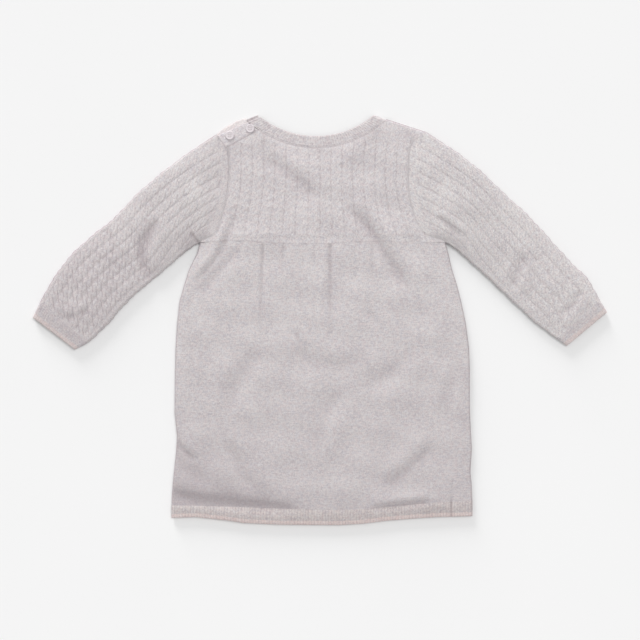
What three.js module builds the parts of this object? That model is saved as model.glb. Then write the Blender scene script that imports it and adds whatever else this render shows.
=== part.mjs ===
// A baby's cable-knit sweater dress, laid flat on its front with the back facing up.
// Millimetres, +Z up, neck towards +Y, hem towards -Y. The surface it lies on is z = 0.
import * as THREE from 'three';

// Cloth
const WALL = 1.8;              // knitted cloth, without the cables
const AIR = 1.0;               // air between the front and the back where they lie flat
const SEAM = 0.3;              // gap between two sewn pieces
const MIDDLE = WALL + AIR / 2; // height of the folded sides, halfway up both layers
const UPPER = WALL * 2 + AIR;  // outer face of the back where it lies flat
const ROLL = 2.5;              // how far in from the outline a folded side rolls over
const ROLL_INSETS = [0, 0.7];
const LOFT = 2.0;              // how much further the back puffs up inside its outline
const LOFT_REACH = 11;         // distance from the outline over which the loft builds up
const NECK_SAG = 1.5;          // how far the back sinks where no front lies under it
const NECK_SAG_REACH = 14;
const SIDE_LOFT_Y = 76;        // above this height the sleeves hold the sides up, over SIDE_LOFT_FADE
const SIDE_LOFT_FADE = 30;
const HEM_LEAD = 4;            // the loft has begun to build up at the hem's edge
const NECK_LEAD = 3;           // and at the neck's edge
const INNER_GAP = 0.3;         // spare room between the inner face and one wall under the outer one
const TUCK_SHARE = 0.8;        // how much of a tuck's depth shows on the outer face

// Knit
const CABLE_RISE = 1.2;        // the crest of a cable over its gutters
const CABLE_SWING = 0.18;      // how far the crest swings to either side, in cable widths
const CABLE_CROSSING = 9;      // length of one crossing along the cable
const YOKE_CABLES = 16;        // columns between the armholes
const YOKE_CABLE_PITCH = 11.25;
const SLEEVE_CABLE_PITCH = 10.5;
const SLEEVE_FIRST_GUTTER = 4; // from the folded edge to the first cable
const RIB_PITCH = 2.8;
const NECK_RIB_PITCH = 2.4;
const RIB_RISE = 0.45;

// Where the cloth changes along the dress
const UNDERARM_Y = 77;
const SKIRT_END_Y = -188;
const HEM_LEVEL = -192;
const YOKE_SPREAD = { fromY: 138, toY: 80, share: 1.13 }; // the cables fan out below the chest
const CABLES_END_Y = 82;       // fine plain knit under the cables
const CABLES_FADE = 4;
const SHOULDER_PLAIN = { x: 62, y: 182, fade: 8 };        // plain knit at the shoulders
const YOKE_SIDE_ROOM = 1.8;    // from the outer gutters to the armholes

// Outline of the body below the underarms
const SIDES = [
  { y: 77, left: -120, right: 125.5 },
  { y: 66, left: -123, right: 128.5 },
  { y: 50, left: -131, right: 132 },
  { y: 34, left: -136, right: 137 },
  { y: 18, left: -140.5, right: 141 },
  { y: -6, left: -143, right: 146 },
  { y: -30, left: -144.5, right: 149 },
  { y: -54, left: -145, right: 150 },
  { y: -94, left: -145.5, right: 150 },
  { y: -118, left: -143, right: 151 },
  { y: -134, left: -144, right: 152 },
  { y: -158, left: -146.5, right: 150.5 },
  { y: -175, left: -148, right: 152 },
  { y: -205, left: -149, right: 153 },
];

// Lower edge of the ribbed hem, and the line where its rib starts
const HEM = [
  { x: -150, edge: -198, rib: -185 },
  { x: -124, edge: -197, rib: -185.5 },
  { x: -92, edge: -200.5, rib: -186.5 },
  { x: -76, edge: -203, rib: -187 },
  { x: -40, edge: -204.6, rib: -188.5 },
  { x: 20, edge: -205, rib: -189.5 },
  { x: 44, edge: -203.5, rib: -188.5 },
  { x: 68, edge: -200.5, rib: -186.5 },
  { x: 92, edge: -198.6, rib: -184.5 },
  { x: 116, edge: -197, rib: -182 },
  { x: 154, edge: -196, rib: -180.5 },
];

// Line where the skirt is gathered into the yoke, a little wavy
const YOKE_SEAM = [
  { x: -121, y: 77 },
  { x: -95, y: 79 },
  { x: -72, y: 79 },
  { x: -57, y: 77.2 },
  { x: -15, y: 76 },
  { x: 10, y: 76.4 },
  { x: 32, y: 78 },
  { x: 56, y: 78.6 },
  { x: 90, y: 78.4 },
  { x: 127, y: 77 },
];

// Armhole seams, from the bound-off underarm up to the shoulder tips
const ARMHOLES = {
  left: [
    { x: -120, y: 77.5 },
    { x: -116.6, y: 80.2 },
    { x: -112, y: 82 },
    { x: -106.5, y: 85.5 },
    { x: -101, y: 98 },
    { x: -96, y: 113 },
    { x: -92.5, y: 132 },
    { x: -91.5, y: 153 },
    { x: -94.5, y: 171.5 },
    { x: -104.5, y: 185.3 },
  ],
  right: [
    { x: 125.5, y: 77.4 },
    { x: 122.2, y: 80 },
    { x: 116, y: 81.6 },
    { x: 106, y: 84.5 },
    { x: 99.5, y: 93 },
    { x: 92.5, y: 113 },
    { x: 89, y: 132 },
    { x: 89, y: 155 },
    { x: 92, y: 175 },
    { x: 106.5, y: 188 },
  ],
};
const ARMHOLE_STEPS = 22;      // rows of the yoke, two for each cable crossing
const CAP_MARGIN = 17;         // plain knit round the armhole before the sleeve's cables start

// Neck and shoulders
const NECK = { x: -4, y: 205, half: 58 };
const BACK_NECK = { drop: 21, flare: 0.0056 };   // flare: the band's ends follow the shoulder
const FRONT_NECK = { drop: 52, flare: -0.0037 }; // slope, in radians for each mm of depth
const NECKBAND = 11.5;
const OPENING_SHORT = 0.035;   // the back's band stops this much short at the opening, radians
const SHOULDER_RIGHT = { fromX: 54, fromY: 205, toX: 106.5, toY: 188 };

// Shoulder opening on the wearer's left: the back's band buttons over a narrow stand on the front
const STAND_EDGE = [
  { x: -73.8, y: 201.9 },
  { x: -80, y: 200.4 },
  { x: -89, y: 196 },
  { x: -97, y: 191.3 },
  { x: -103.6, y: 186 },
];
const STAND_FOOT = [{ x: -71.2, y: 190.1 }, { x: -95.8, y: 174.6 }];
const STAND_FROM = 0.058;      // where the front neckline leaves the stand
const BAND_EDGE = [
  { x: -72.1, y: 197.9 },
  { x: -80, y: 194.7 },
  { x: -88, y: 191 },
  { x: -96, y: 187.6 },
  { x: -102.8, y: 184.2 },
];
const BAND_FOOT = [{ x: -61.7, y: 189.7 }, { x: -94.3, y: 172 }];
const BUTTONS = { button_neck: { along: 0.12, depth: 0.6 }, button_armhole: { along: 0.7, depth: 0.4 } };
const BUTTON_RADIUS = 4.4;
const BUTTON_HEIGHT = 1.7;
const BUTTON_TILT = 0.1;       // slope of the band under it

// Sleeves: the folded edge and the underarm edge, from the armhole down to the cuff's edge
const SLEEVES = {
  left: [
    { foldX: -104.9, foldY: 185.5, armX: -120.5, armY: 77.6 },
    { foldX: -131, foldY: 167.8, armX: -128, armY: 73 },
    { foldX: -158, foldY: 147.5, armX: -137, armY: 66 },
    { foldX: -183, foldY: 126, armX: -148, armY: 56.5 },
    { foldX: -206, foldY: 102, armX: -162, armY: 44.5 },
    { foldX: -229, foldY: 83.5, armX: -179, armY: 30.5 },
    { foldX: -249, foldY: 65, armX: -196, armY: 14.5 },
    { foldX: -266, foldY: 42.5, armX: -211, armY: -3 },
    { foldX: -280, foldY: 18, armX: -232, armY: -22.5 },
    { foldX: -287.3, foldY: 2.5, armX: -245, armY: -29.5 },
  ],
  right: [
    { foldX: 106.9, foldY: 188.2, armX: 126, armY: 77.6 },
    { foldX: 135, foldY: 169.5, armX: 133, armY: 73 },
    { foldX: 160, foldY: 150, armX: 142, armY: 65.5 },
    { foldX: 183, foldY: 128, armX: 153, armY: 55.5 },
    { foldX: 208, foldY: 105, armX: 167, armY: 43 },
    { foldX: 231, foldY: 80, armX: 183, armY: 27.5 },
    { foldX: 251, foldY: 58, armX: 200, armY: 11.5 },
    { foldX: 268, foldY: 41, armX: 217, armY: -4 },
    { foldX: 280, foldY: 20, armX: 236.5, armY: -18.5 },
    { foldX: 287.3, foldY: 8, armX: 247, armY: -25.8 },
  ],
};
const CUFF_STATION = 8;        // the station where the cables end and the cuff's rib starts

// Soft folds pressed into the back: a line from one point to another, its half width and its depth
const FOLDS = [
  { x: -55, y: 163, toX: 22, toY: 118, wide: 9, deep: 0.8 },
  { x: 22, y: 118, toX: 68, toY: 56, wide: 9, deep: 1.3 },
  { x: 68, y: 56, toX: 106, toY: 14, wide: 11, deep: 1.2 },
  { x: -90, y: 96, toX: -118, toY: 36, wide: 7, deep: 1.2 },
  { x: -140, y: -172, toX: -88, toY: -177, wide: 9, deep: 1.4 },
  { x: -88, y: -177, toX: -30, toY: -183, wide: 8, deep: 1.3 },
  { x: -92, y: -118, toX: -84, toY: -172, wide: 9, deep: 1.0 },
  { x: 84, y: -118, toX: 42, toY: -172, wide: 11, deep: 1.0 },
  { x: -150, y: -112, toX: -126, toY: -140, wide: 9, deep: 1.0 },
  { x: -178, y: 84, toX: -166, toY: 44, wide: 8, deep: 0.9 },
  { x: 206, y: 62, toX: 192, toY: 30, wide: 8, deep: 0.8 },
];

// Gathers held in the yoke seam: narrow tucks that run down the skirt and fade out
const TUCKS = [
  { x: -57, length: 92, deep: 1.2 },
  { x: -37, length: 26, deep: 0.8 },
  { x: 10, length: 76, deep: 1.1 },
  { x: 52, length: 44, deep: 0.8 },
];
const TUCK_HALF = 3.4;

// The same two seams on the front, which lie straight
const FRONT_YOKE_Y = 77.4;
const FRONT_RIB = { x: -150, y: -185.4, toX: 154, toY: -181.5 };

// Numbers
const lerp = THREE.MathUtils.lerp;
const clamp = THREE.MathUtils.clamp;
const range = (n) => [...Array(n).keys()];
const spread = (n, from, to) => range(n + 1).map((i) => lerp(from, to, i / n));
const point = (x, y, z) => new THREE.Vector3(x, y, z);
const builds = (distance) => 1 - Math.exp(-Math.max(distance, 0) / LOFT_REACH);
const rollRise = (inset) => Math.sqrt(1 - (1 - clamp(inset / ROLL, 0, 1)) ** 2);

// A column of a table as a straight-line function of another column
function lookup(table, key, column, value) {
  const rows = table[0][key] < table[table.length - 1][key] ? table : [...table].reverse();
  const at = clamp(value, rows[0][key], rows[rows.length - 1][key]);
  const i = Math.max(rows.findIndex((row) => row[key] >= at), 1);
  const [a, b] = [rows[i - 1], rows[i]];
  return lerp(a[column], b[column], (at - a[key]) / (b[key] - a[key]));
}

const smooth = (rows) => new THREE.CatmullRomCurve3(
  rows.map(({ x, y }) => point(x, y, 0)), false, 'centripetal');
const sideX = (side, y) => lookup(SIDES, 'y', side, y);
const hemY = (x) => lookup(HEM, 'x', 'edge', x);
const ribY = (x) => lookup(HEM, 'x', 'rib', x);
const yokeY = (x) => lookup(YOKE_SEAM, 'x', 'y', x);
const frontRibY = (x) => lerp(FRONT_RIB.y, FRONT_RIB.toY, (x - FRONT_RIB.x) / (FRONT_RIB.toX - FRONT_RIB.x));
const bandY = (foot, x) => lerp(foot[1].y, foot[0].y, (x - foot[1].x) / (foot[0].x - foot[1].x));

function shoulderY(x) {
  const { fromX, fromY, toX, toY } = SHOULDER_RIGHT;
  return lerp(fromY, toY, (x - fromX) / (toX - fromX));
}

// A neckline is an arc through the two neck points
const neckRadius = ({ drop }) => (NECK.half ** 2 + drop ** 2) / (2 * drop);
const neckCentreY = (neck) => NECK.y - neck.drop + neckRadius(neck);

function neckY(neck, x, inset) {
  const away = neckRadius(neck) + inset;
  const off = Math.min(Math.abs(x - NECK.x), away);
  return neckCentreY(neck) - Math.sqrt(away ** 2 - off ** 2);
}

function neckPoint(neck, inset, t, leftShort = 0) {
  const reach = Math.asin(NECK.half / neckRadius(neck)) + inset * neck.flare;
  const angle = lerp(-reach + leftShort, reach, t);
  const away = neckRadius(neck) + inset;
  return { x: NECK.x + away * Math.sin(angle), y: neckCentreY(neck) - away * Math.cos(angle) };
}

// Armhole points from the underarm up, moved off the seam: more than 0 towards the sleeve
const armholeCurves = { left: smooth(ARMHOLES.left), right: smooth(ARMHOLES.right) };

function armholePoint(side, t, away) {
  const at = armholeCurves[side].getPointAt(t);
  const along = armholeCurves[side].getTangentAt(t);
  const turn = side === 'left' ? 1 : -1;
  return point(at.x - turn * away * along.y, at.y + turn * away * along.x, 0);
}

const armholeTrace = {
  left: spread(120, 0, 1).map((t) => armholeCurves.left.getPointAt(t)),
  right: spread(120, 0, 1).map((t) => armholeCurves.right.getPointAt(t)),
};
const armholeX = (side, y) => lookup(armholeTrace[side], 'y', 'x', y);

// How far up the left armhole a shoulder band's foot lies; the right one has no band
function armholeReach(side, foot) {
  if (side === 'right') return 1;
  return range(401).map((i) => i / 400).find((t) => armholeCurves.left.getPointAt(t).y >= foot[1].y - 2 * SEAM);
}

const ARMHOLE_SHARES = [...spread(ARMHOLE_STEPS, 0, 1).slice(0, -1), 0.988, 0.996, 1];
const COARSE_SHARES = ARMHOLE_SHARES.filter((share, i) => i % 2 === 0 || share === 1);

// Height of the upper layer
function foldDepth(x, y) {
  let depth = 0;
  for (const fold of FOLDS) {
    const [dx, dy] = [fold.toX - fold.x, fold.toY - fold.y];
    const along = clamp(((x - fold.x) * dx + (y - fold.y) * dy) / (dx * dx + dy * dy), 0, 1);
    const off = Math.hypot(x - fold.x - along * dx, y - fold.y - along * dy);
    depth = Math.max(depth, fold.deep * Math.exp(-((off / fold.wide) ** 2)));
  }
  return depth;
}

// The back sinks a little where the lower front neckline leaves nothing under it
function neckSag(x, y) {
  const off = Math.hypot(x - NECK.x, y - neckCentreY(FRONT_NECK));
  return NECK_SAG * clamp((neckRadius(FRONT_NECK) - off) / NECK_SAG_REACH, 0, 1);
}

function bodyTop(x, y) {
  const low = Math.min(y, UNDERARM_Y);
  const sides = builds(x - sideX('left', low)) * builds(sideX('right', low) - x);
  const across = lerp(sides, 1, clamp((y - SIDE_LOFT_Y) / SIDE_LOFT_FADE, 0, 1));
  const top = Math.min(shoulderY(Math.abs(x)), neckY(BACK_NECK, x, 0));
  const ends = builds(y - hemY(x) + HEM_LEAD) * builds(top - y + NECK_LEAD);
  const loft = LOFT * across * ends;
  return UPPER + Math.max(loft - foldDepth(x, y), 0) - neckSag(x, y);
}

// The crest of a cable lies on the strand that crosses over, so it swings at every half crossing
const crestPlace = (row) => 0.5 + (row % 2 ? CABLE_SWING : -CABLE_SWING);

// A closed mesh that is put together from runs of points
class Cloth {
  constructor() {
    this.points = [];
    this.faces = [];
  }

  run(points) {
    return points.map((p) => this.points.push(p) - 1);
  }

  // Joins two runs with triangles, always by the shorter diagonal
  strip(a, b) {
    const gap = (i, j) => this.points[i].distanceToSquared(this.points[j]);
    let i = 0;
    let j = 0;
    while (i < a.length - 1 || j < b.length - 1) {
      const onlyA = j === b.length - 1;
      const mayA = i < a.length - 1;
      if (onlyA || (mayA && gap(a[i + 1], b[j]) < gap(a[i], b[j + 1]))) {
        this.faces.push([a[i], b[j], a[i + 1]]);
        i += 1;
      } else {
        this.faces.push([a[i], b[j], b[j + 1]]);
        j += 1;
      }
    }
  }

  geometry() {
    const cross = new THREE.Vector3();
    const volume = this.faces.reduce((sum, [a, b, c]) => sum
      + this.points[a].dot(cross.crossVectors(this.points[b], this.points[c])), 0);
    const faces = volume > 0 ? this.faces : this.faces.map(([a, b, c]) => [a, c, b]);
    const geometry = new THREE.BufferGeometry();
    geometry.setAttribute('position', new THREE.Float32BufferAttribute(
      this.points.flatMap((p) => [p.x, p.y, p.z]), 3));
    geometry.setIndex(faces.flat());
    geometry.computeVertexNormals();
    return geometry;
  }
}

// A panel from rows of points over and under it; the two sides may have different numbers of rows
function panel(overRows, underRows) {
  const cloth = new Cloth();
  const over = overRows.map((row) => cloth.run(row));
  const under = underRows.map((row) => cloth.run(row));
  const column = (rows, last) => rows.map((row) => (last ? row[row.length - 1] : row[0]));
  range(over.length - 1).forEach((i) => cloth.strip(over[i], over[i + 1]));
  range(under.length - 1).forEach((i) => cloth.strip(under[i + 1], under[i]));
  cloth.strip(under[0], over[0]);
  cloth.strip(over[over.length - 1], under[under.length - 1]);
  cloth.strip(column(over, false), column(under, false));
  cloth.strip(column(under, true), column(over, true));
  return cloth.geometry();
}

// A flattened tube from sections, each with its points over and under from fold to underarm
function tube(outer, inner) {
  const cloth = new Cloth();
  const rings = (sections) => sections.map(({ over, under }) => {
    const top = cloth.run(over);
    const bottom = cloth.run(under);
    return { top, bottom: [top[top.length - 1], ...bottom, top[0]] };
  });
  const join = (a, b) => {
    cloth.strip(a.top, b.top);
    cloth.strip(a.bottom, b.bottom);
  };
  const skin = rings(outer);
  const inside = rings(inner);
  range(skin.length - 1).forEach((i) => join(skin[i], skin[i + 1]));
  range(inside.length - 1).forEach((i) => join(inside[i + 1], inside[i]));
  join(inside[0], skin[0]);
  join(skin[skin.length - 1], inside[inside.length - 1]);
  return cloth.geometry();
}

// Rolled sides of the upper and the lower layer, from the outline inwards
const rollUp = (inset, top) => lerp(MIDDLE + SEAM / 2, top, rollRise(inset));
const rollDown = (inset) => lerp(MIDDLE - SEAM / 2, 0, rollRise(inset));

const SKIRT_SIDE = 6;          // from the side to the first column of points
const COLUMN_LEAST = 0.8;      // least distance between two columns

// Skirt panels: plain jersey gathered into the yoke seam, rolled over at both side seams
const skirtLevel = (v) => lerp(UNDERARM_Y, SKIRT_END_Y, v);
const skirtY = (x, v) => lerp(yokeY(x) - SEAM / 2, ribY(x) + SEAM / 2, v);

function tuckDepth(x, y) {
  const width = (level) => sideX('right', level) - sideX('left', level);
  const grow = width(y) / width(UNDERARM_Y);
  return TUCKS.reduce((sum, tuck) => {
    const fade = clamp(1 - (UNDERARM_Y - y) / tuck.length, 0, 1);
    return sum + tuck.deep * fade * clamp(1 - Math.abs(x - tuck.x * grow) / TUCK_HALF, 0, 1);
  }, 0);
}

function backSkirt() {
  const tuckColumns = TUCKS.flatMap(({ x }) => [x - TUCK_HALF, x, x + TUCK_HALF]);
  const [first, last] = [sideX('left', UNDERARM_Y), sideX('right', UNDERARM_Y)];
  const columns = [...spread(17, first + SKIRT_SIDE, last - SKIRT_SIDE), ...tuckColumns].sort((a, b) => a - b);
  const shares = columns.filter((x, i) => i === 0 || x - columns[i - 1] > COLUMN_LEAST)
    .map((x) => (x - first) / (last - first));
  const over = spread(19, 0, 1).map((v) => {
    const level = skirtLevel(v);
    const [left, right] = [sideX('left', level), sideX('right', level)];
    const rolled = (x, inset) => point(x, skirtY(x, v), rollUp(inset, UPPER));
    return [
      ...ROLL_INSETS.map((d) => rolled(left + d, d)),
      ...shares.map((share) => {
        const x = lerp(left, right, share);
        const y = skirtY(x, v);
        return point(x, y, bodyTop(x, y) - tuckDepth(x, y) * TUCK_SHARE);
      }),
      ...ROLL_INSETS.map((d) => rolled(right - d, d)).reverse(),
    ];
  });
  const under = spread(14, 0, 1).map((v) => {
    const level = skirtLevel(v);
    const [left, right] = [sideX('left', level), sideX('right', level)];
    const inner = (x) => point(x, skirtY(x, v), Math.max(
      bodyTop(x, skirtY(x, v)) - WALL - INNER_GAP, UPPER - WALL - INNER_GAP));
    const edge = (x) => point(x, skirtY(x, v), MIDDLE + SEAM / 2);
    return [edge(left + WALL), ...spread(15, left + ROLL + 1, right - ROLL - 1).map(inner), edge(right - WALL)];
  });
  return panel(over, under);
}

function frontSkirt() {
  const rows = spread(12, 0, 1).map((v) => {
    const level = skirtLevel(v);
    const [left, right] = [sideX('left', level), sideX('right', level)];
    const flat = (x, z) => point(x, lerp(FRONT_YOKE_Y - SEAM / 2, frontRibY(x) + SEAM / 2, v), z);
    return {
      over: [
        flat(left + WALL, MIDDLE - SEAM / 2),
        ...spread(4, left + ROLL + 1, right - ROLL - 1).map((x) => flat(x, WALL)),
        flat(right - WALL, MIDDLE - SEAM / 2),
      ],
      under: [
        ...ROLL_INSETS.map((d) => flat(left + d, rollDown(d))),
        ...spread(4, left + ROLL, right - ROLL).map((x) => flat(x, 0)),
        ...ROLL_INSETS.map((d) => flat(right - d, rollDown(d))).reverse(),
      ],
    };
  });
  return panel(rows.map((row) => row.over), rows.map((row) => row.under));
}

// Hem bands: one-by-one rib, its raised stitches on the outer face of the back
const HEM_SIDES = { left: sideX('left', HEM_LEVEL), right: sideX('right', HEM_LEVEL) };
const EDGE_DROP = 0.4;         // how much lower the bound-off edge lies
const bandRowY = (x, v) => lerp(ribY(x) - SEAM / 2, hemY(x), v);

function hemBack() {
  const { left, right } = HEM_SIDES;
  const ribs = Math.round((right - left - 2 * ROLL) / RIB_PITCH);
  const columns = spread(ribs * 2, left + ROLL, right - ROLL);
  const over = [0, 1].map((v) => [
    ...ROLL_INSETS.map((d) => point(left + d, bandRowY(left, v), rollUp(d, UPPER))),
    ...columns.map((x, i) => {
      const y = bandRowY(x, v);
      return point(x, y, bodyTop(x, y) + (i % 2) * RIB_RISE - v * EDGE_DROP);
    }),
    ...ROLL_INSETS.map((d) => point(right - d, bandRowY(right, v), rollUp(d, UPPER))).reverse(),
  ]);
  const under = [0, 1].map((v) => [
    point(left + WALL, bandRowY(left, v), MIDDLE + SEAM / 2),
    ...spread(16, left + ROLL + 1, right - ROLL - 1).map((x) => point(x, bandRowY(x, v), UPPER - WALL)),
    point(right - WALL, bandRowY(right, v), MIDDLE + SEAM / 2),
  ]);
  return panel(over, under);
}

function hemFront() {
  const { left, right } = HEM_SIDES;
  const columns = spread(16, left + ROLL + 1, right - ROLL - 1);
  const place = (x, v, z) => point(x, lerp(frontRibY(x) - SEAM / 2, hemY(x), v), z);
  const over = [0, 1].map((v) => [
    place(left + WALL, v, MIDDLE - SEAM / 2),
    ...columns.map((x) => place(x, v, WALL)),
    place(right - WALL, v, MIDDLE - SEAM / 2),
  ]);
  const under = [0, 1].map((v) => [
    ...ROLL_INSETS.map((d) => place(left + d, v, rollDown(d))),
    ...columns.map((x) => place(x, v, 0)),
    ...ROLL_INSETS.map((d) => place(right - d, v, rollDown(d))).reverse(),
  ]);
  return panel(over, under);
}

// Back of the yoke: its cable columns fan out a little below the chest
const spreading = (y) => clamp((YOKE_SPREAD.fromY - y) / (YOKE_SPREAD.fromY - YOKE_SPREAD.toY), 0, 1);

function yokeX(gutter, y) {
  const share = gutter / (YOKE_CABLES / 2);
  const widest = YOKE_CABLES / 2 * YOKE_CABLE_PITCH * lerp(1, YOKE_SPREAD.share, spreading(y));
  return share * Math.min(widest, Math.abs(armholeX(gutter < 0 ? 'left' : 'right', y)) - YOKE_SIDE_ROOM);
}

function backCeiling(x) {
  if (x < BAND_FOOT[0].x) return bandY(BAND_FOOT, x) - SEAM;
  return Math.min(x > NECK.x ? shoulderY(x) : Infinity, neckY(BACK_NECK, x, NECKBAND + SEAM));
}

const shoulderInset = (x, y) => (x > SHOULDER_RIGHT.fromX + NECKBAND ? Math.max(shoulderY(x) - y, 0) : ROLL);

// The cloth's inner side at the right shoulder, one wall in from the outline
function shoulderTurn(x, inset, z) {
  const y = shoulderY(x) - WALL - inset * 0.4;
  return point(Math.min(x, armholeX('right', y) - SEAM), y, z);
}

function backYokeRows(gutters, place) {
  const top = SHOULDER_RIGHT.toY;
  const reach = armholeReach('left', BAND_FOOT);
  return ARMHOLE_SHARES.map((t, row) => {
    const left = armholePoint('left', t * reach, -SEAM / 2);
    const right = armholePoint('right', t, -SEAM / 2);
    const inner = gutters(row).map((gutter) => {
      const x = yokeX(gutter, top);
      const low = yokeX(gutter, YOKE_SPREAD.toY);
      const y = lerp(yokeY(low) + SEAM / 2, backCeiling(x), t);
      const { x: plainX, y: plainY, fade } = SHOULDER_PLAIN;
      const shoulder = Math.abs(x) > plainX ? clamp((plainY - y) / fade, 0, 1) : 1;
      const plain = shoulder * clamp((y - CABLES_END_Y) / CABLES_FADE, 0, 1) * clamp((1 - t) / 0.04, 0, 1);
      return place(yokeX(gutter, y), y, Number.isInteger(gutter) ? 0 : plain * CABLE_RISE);
    });
    return [place(left.x, left.y, 0), ...inner, place(right.x, right.y, 0)];
  });
}

function backYoke() {
  const half = YOKE_CABLES / 2;
  const cables = (row) => range(YOKE_CABLES * 2 + 1).map((i) => Math.floor(i / 2) - half
    + (i % 2 ? crestPlace(row) : 0));
  const over = backYokeRows(cables, (x, y, rise) => {
    const inset = shoulderInset(x, y);
    return point(x, y, inset < ROLL ? rollUp(inset, UPPER) : bodyTop(x, y) + rise);
  });
  const under = backYokeRows(() => spread(YOKE_CABLES, -half, half), (x, y) => {
    const inset = shoulderInset(x, y);
    if (inset < WALL) return shoulderTurn(x, inset, MIDDLE + SEAM / 2);
    return point(x, y, bodyTop(x, y) - WALL - INNER_GAP);
  });
  return panel(over, under);
}

// Front of the yoke: plain inside, with the lower neckline, flat on the surface
function frontYoke() {
  const arc = spread(22, STAND_FROM, 1).map((t) => neckPoint(FRONT_NECK, NECKBAND + SEAM, t));
  const ceiling = [
    ...[-90, -84, -77].map((x) => ({ x, y: bandY(STAND_FOOT, x) - SEAM })),
    ...arc,
    ...[74, 84, 95].map((x) => ({ x, y: shoulderY(x) })),
  ];
  const reach = armholeReach('left', STAND_FOOT);
  const columns = ceiling.length;
  const rows = (place) => COARSE_SHARES.map((t) => {
    const left = armholePoint('left', t * reach, -SEAM / 2);
    const right = armholePoint('right', t, -SEAM / 2);
    const inner = ceiling.map((end, i) => {
      const foot = lerp(-120, 125, (i + 1) / (columns + 1));
      const y = lerp(FRONT_YOKE_Y + SEAM / 2, end.y, t);
      const low = armholeX('left', y) + 1.5 * (i + 1);
      const high = armholeX('right', y) - 1.5 * (columns - i);
      return place(t === 1 ? end.x : clamp(lerp(foot, end.x, t), low, high), y);
    });
    return [place(left.x, left.y), ...inner, place(right.x, right.y)];
  });
  const over = rows((x, y) => {
    const inset = shoulderInset(x, y);
    if (inset < WALL) return shoulderTurn(x, inset, MIDDLE - SEAM / 2);
    return point(x, y, WALL);
  });
  return panel(over, rows((x, y) => point(x, y, rollDown(shoulderInset(x, y)))));
}

// Neckbands: one-by-one rib, joined at the right shoulder and open at the left one
function neckbandBack() {
  const length = 2 * (neckRadius(BACK_NECK) + NECKBAND / 2) * Math.asin(NECK.half / neckRadius(BACK_NECK));
  const ribs = Math.round(length / NECK_RIB_PITCH);
  const row = (inset, columns, height) => spread(columns, 0, 1).map((t, i) => {
    const { x, y } = neckPoint(BACK_NECK, inset, t, OPENING_SHORT);
    return point(x, y, height(bodyTop(x, y), length * (1 - t), i));
  });
  const outer = (top, inset, i) => (inset < ROLL ? rollUp(inset, UPPER) : top + (i % 2) * RIB_RISE);
  const inner = (top, inset) => (inset < ROLL ? MIDDLE + SEAM / 2 : top - WALL - INNER_GAP);
  const over = [0, 1].map((v) => row(v * NECKBAND, ribs * 2, outer));
  return panel(over, [0, 1].map((v) => row(v * NECKBAND, 24, inner)));
}

function neckbandFront() {
  const length = 2 * (neckRadius(FRONT_NECK) + NECKBAND / 2) * Math.asin(NECK.half / neckRadius(FRONT_NECK));
  const row = (inset, height) => [...spread(36, 0, 1).slice(0, -1), 0.988, 1].map((t) => {
    const { x, y } = neckPoint(FRONT_NECK, inset, t);
    return point(x, y, height(length * (1 - t)));
  });
  const inner = (inset) => (inset < WALL ? MIDDLE - SEAM / 2 : WALL);
  return panel(
    [0, 1].map((v) => row(v * NECKBAND, inner)),
    [0, 1].map((v) => row(v * NECKBAND, rollDown)),
  );
}

// Shoulder opening: the stand lies under the buttonhole band and shows past its edge
function bandPoint(edge, foot, along, depth) {
  const low = point(lerp(foot[0].x, foot[1].x, along), lerp(foot[0].y, foot[1].y, along), 0);
  return smooth(edge).getPointAt(along).lerp(low, depth);
}

function shoulderBand(edge, foot, columns, rows, height) {
  const layer = (side) => spread(rows, 0, 1).map((depth) => spread(columns, 0, 1).map((along) => {
    const at = bandPoint(edge, foot, along, depth);
    return point(at.x, at.y, height(side, at, depth));
  }));
  return panel(layer('over'), layer('under'));
}

const bandTop = (at, depth) => lerp(WALL * 2 + SEAM, bodyTop(at.x, at.y), Math.sqrt(depth));
const bandHeight = (side, at, depth) => bandTop(at, depth) - (side === 'over' ? 0 : WALL);
const standHeight = (side) => (side === 'over' ? WALL : 0);

// A button sewn through: a disc with a raised rim, seated on the slope of the band
function button({ along, depth }) {
  const rim = BUTTON_RADIUS;
  const profile = [
    [0, 0], [rim - 0.5, 0], [rim, BUTTON_HEIGHT * 0.6], [rim - 0.7, BUTTON_HEIGHT],
    [rim - 1.5, BUTTON_HEIGHT - 0.4], [0, BUTTON_HEIGHT - 0.4],
  ].map(([r, h]) => new THREE.Vector2(r, h));
  const geometry = new THREE.LatheGeometry(profile, 20);
  const down = bandPoint(BAND_EDGE, BAND_FOOT, along, 1).sub(bandPoint(BAND_EDGE, BAND_FOOT, along, 0));
  const up = down.normalize().multiplyScalar(-BUTTON_TILT).add(point(0, 0, 1)).normalize();
  const seat = bandPoint(BAND_EDGE, BAND_FOOT, along, depth);
  geometry.applyQuaternion(new THREE.Quaternion().setFromUnitVectors(point(0, 1, 0), up));
  geometry.translate(seat.x, seat.y, bandTop(seat, depth) + 2 * SEAM);
  return geometry;
}

// Sleeves: sections run from the folded edge to the underarm edge
const STATIONS = SLEEVES.left.length - 1;

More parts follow.
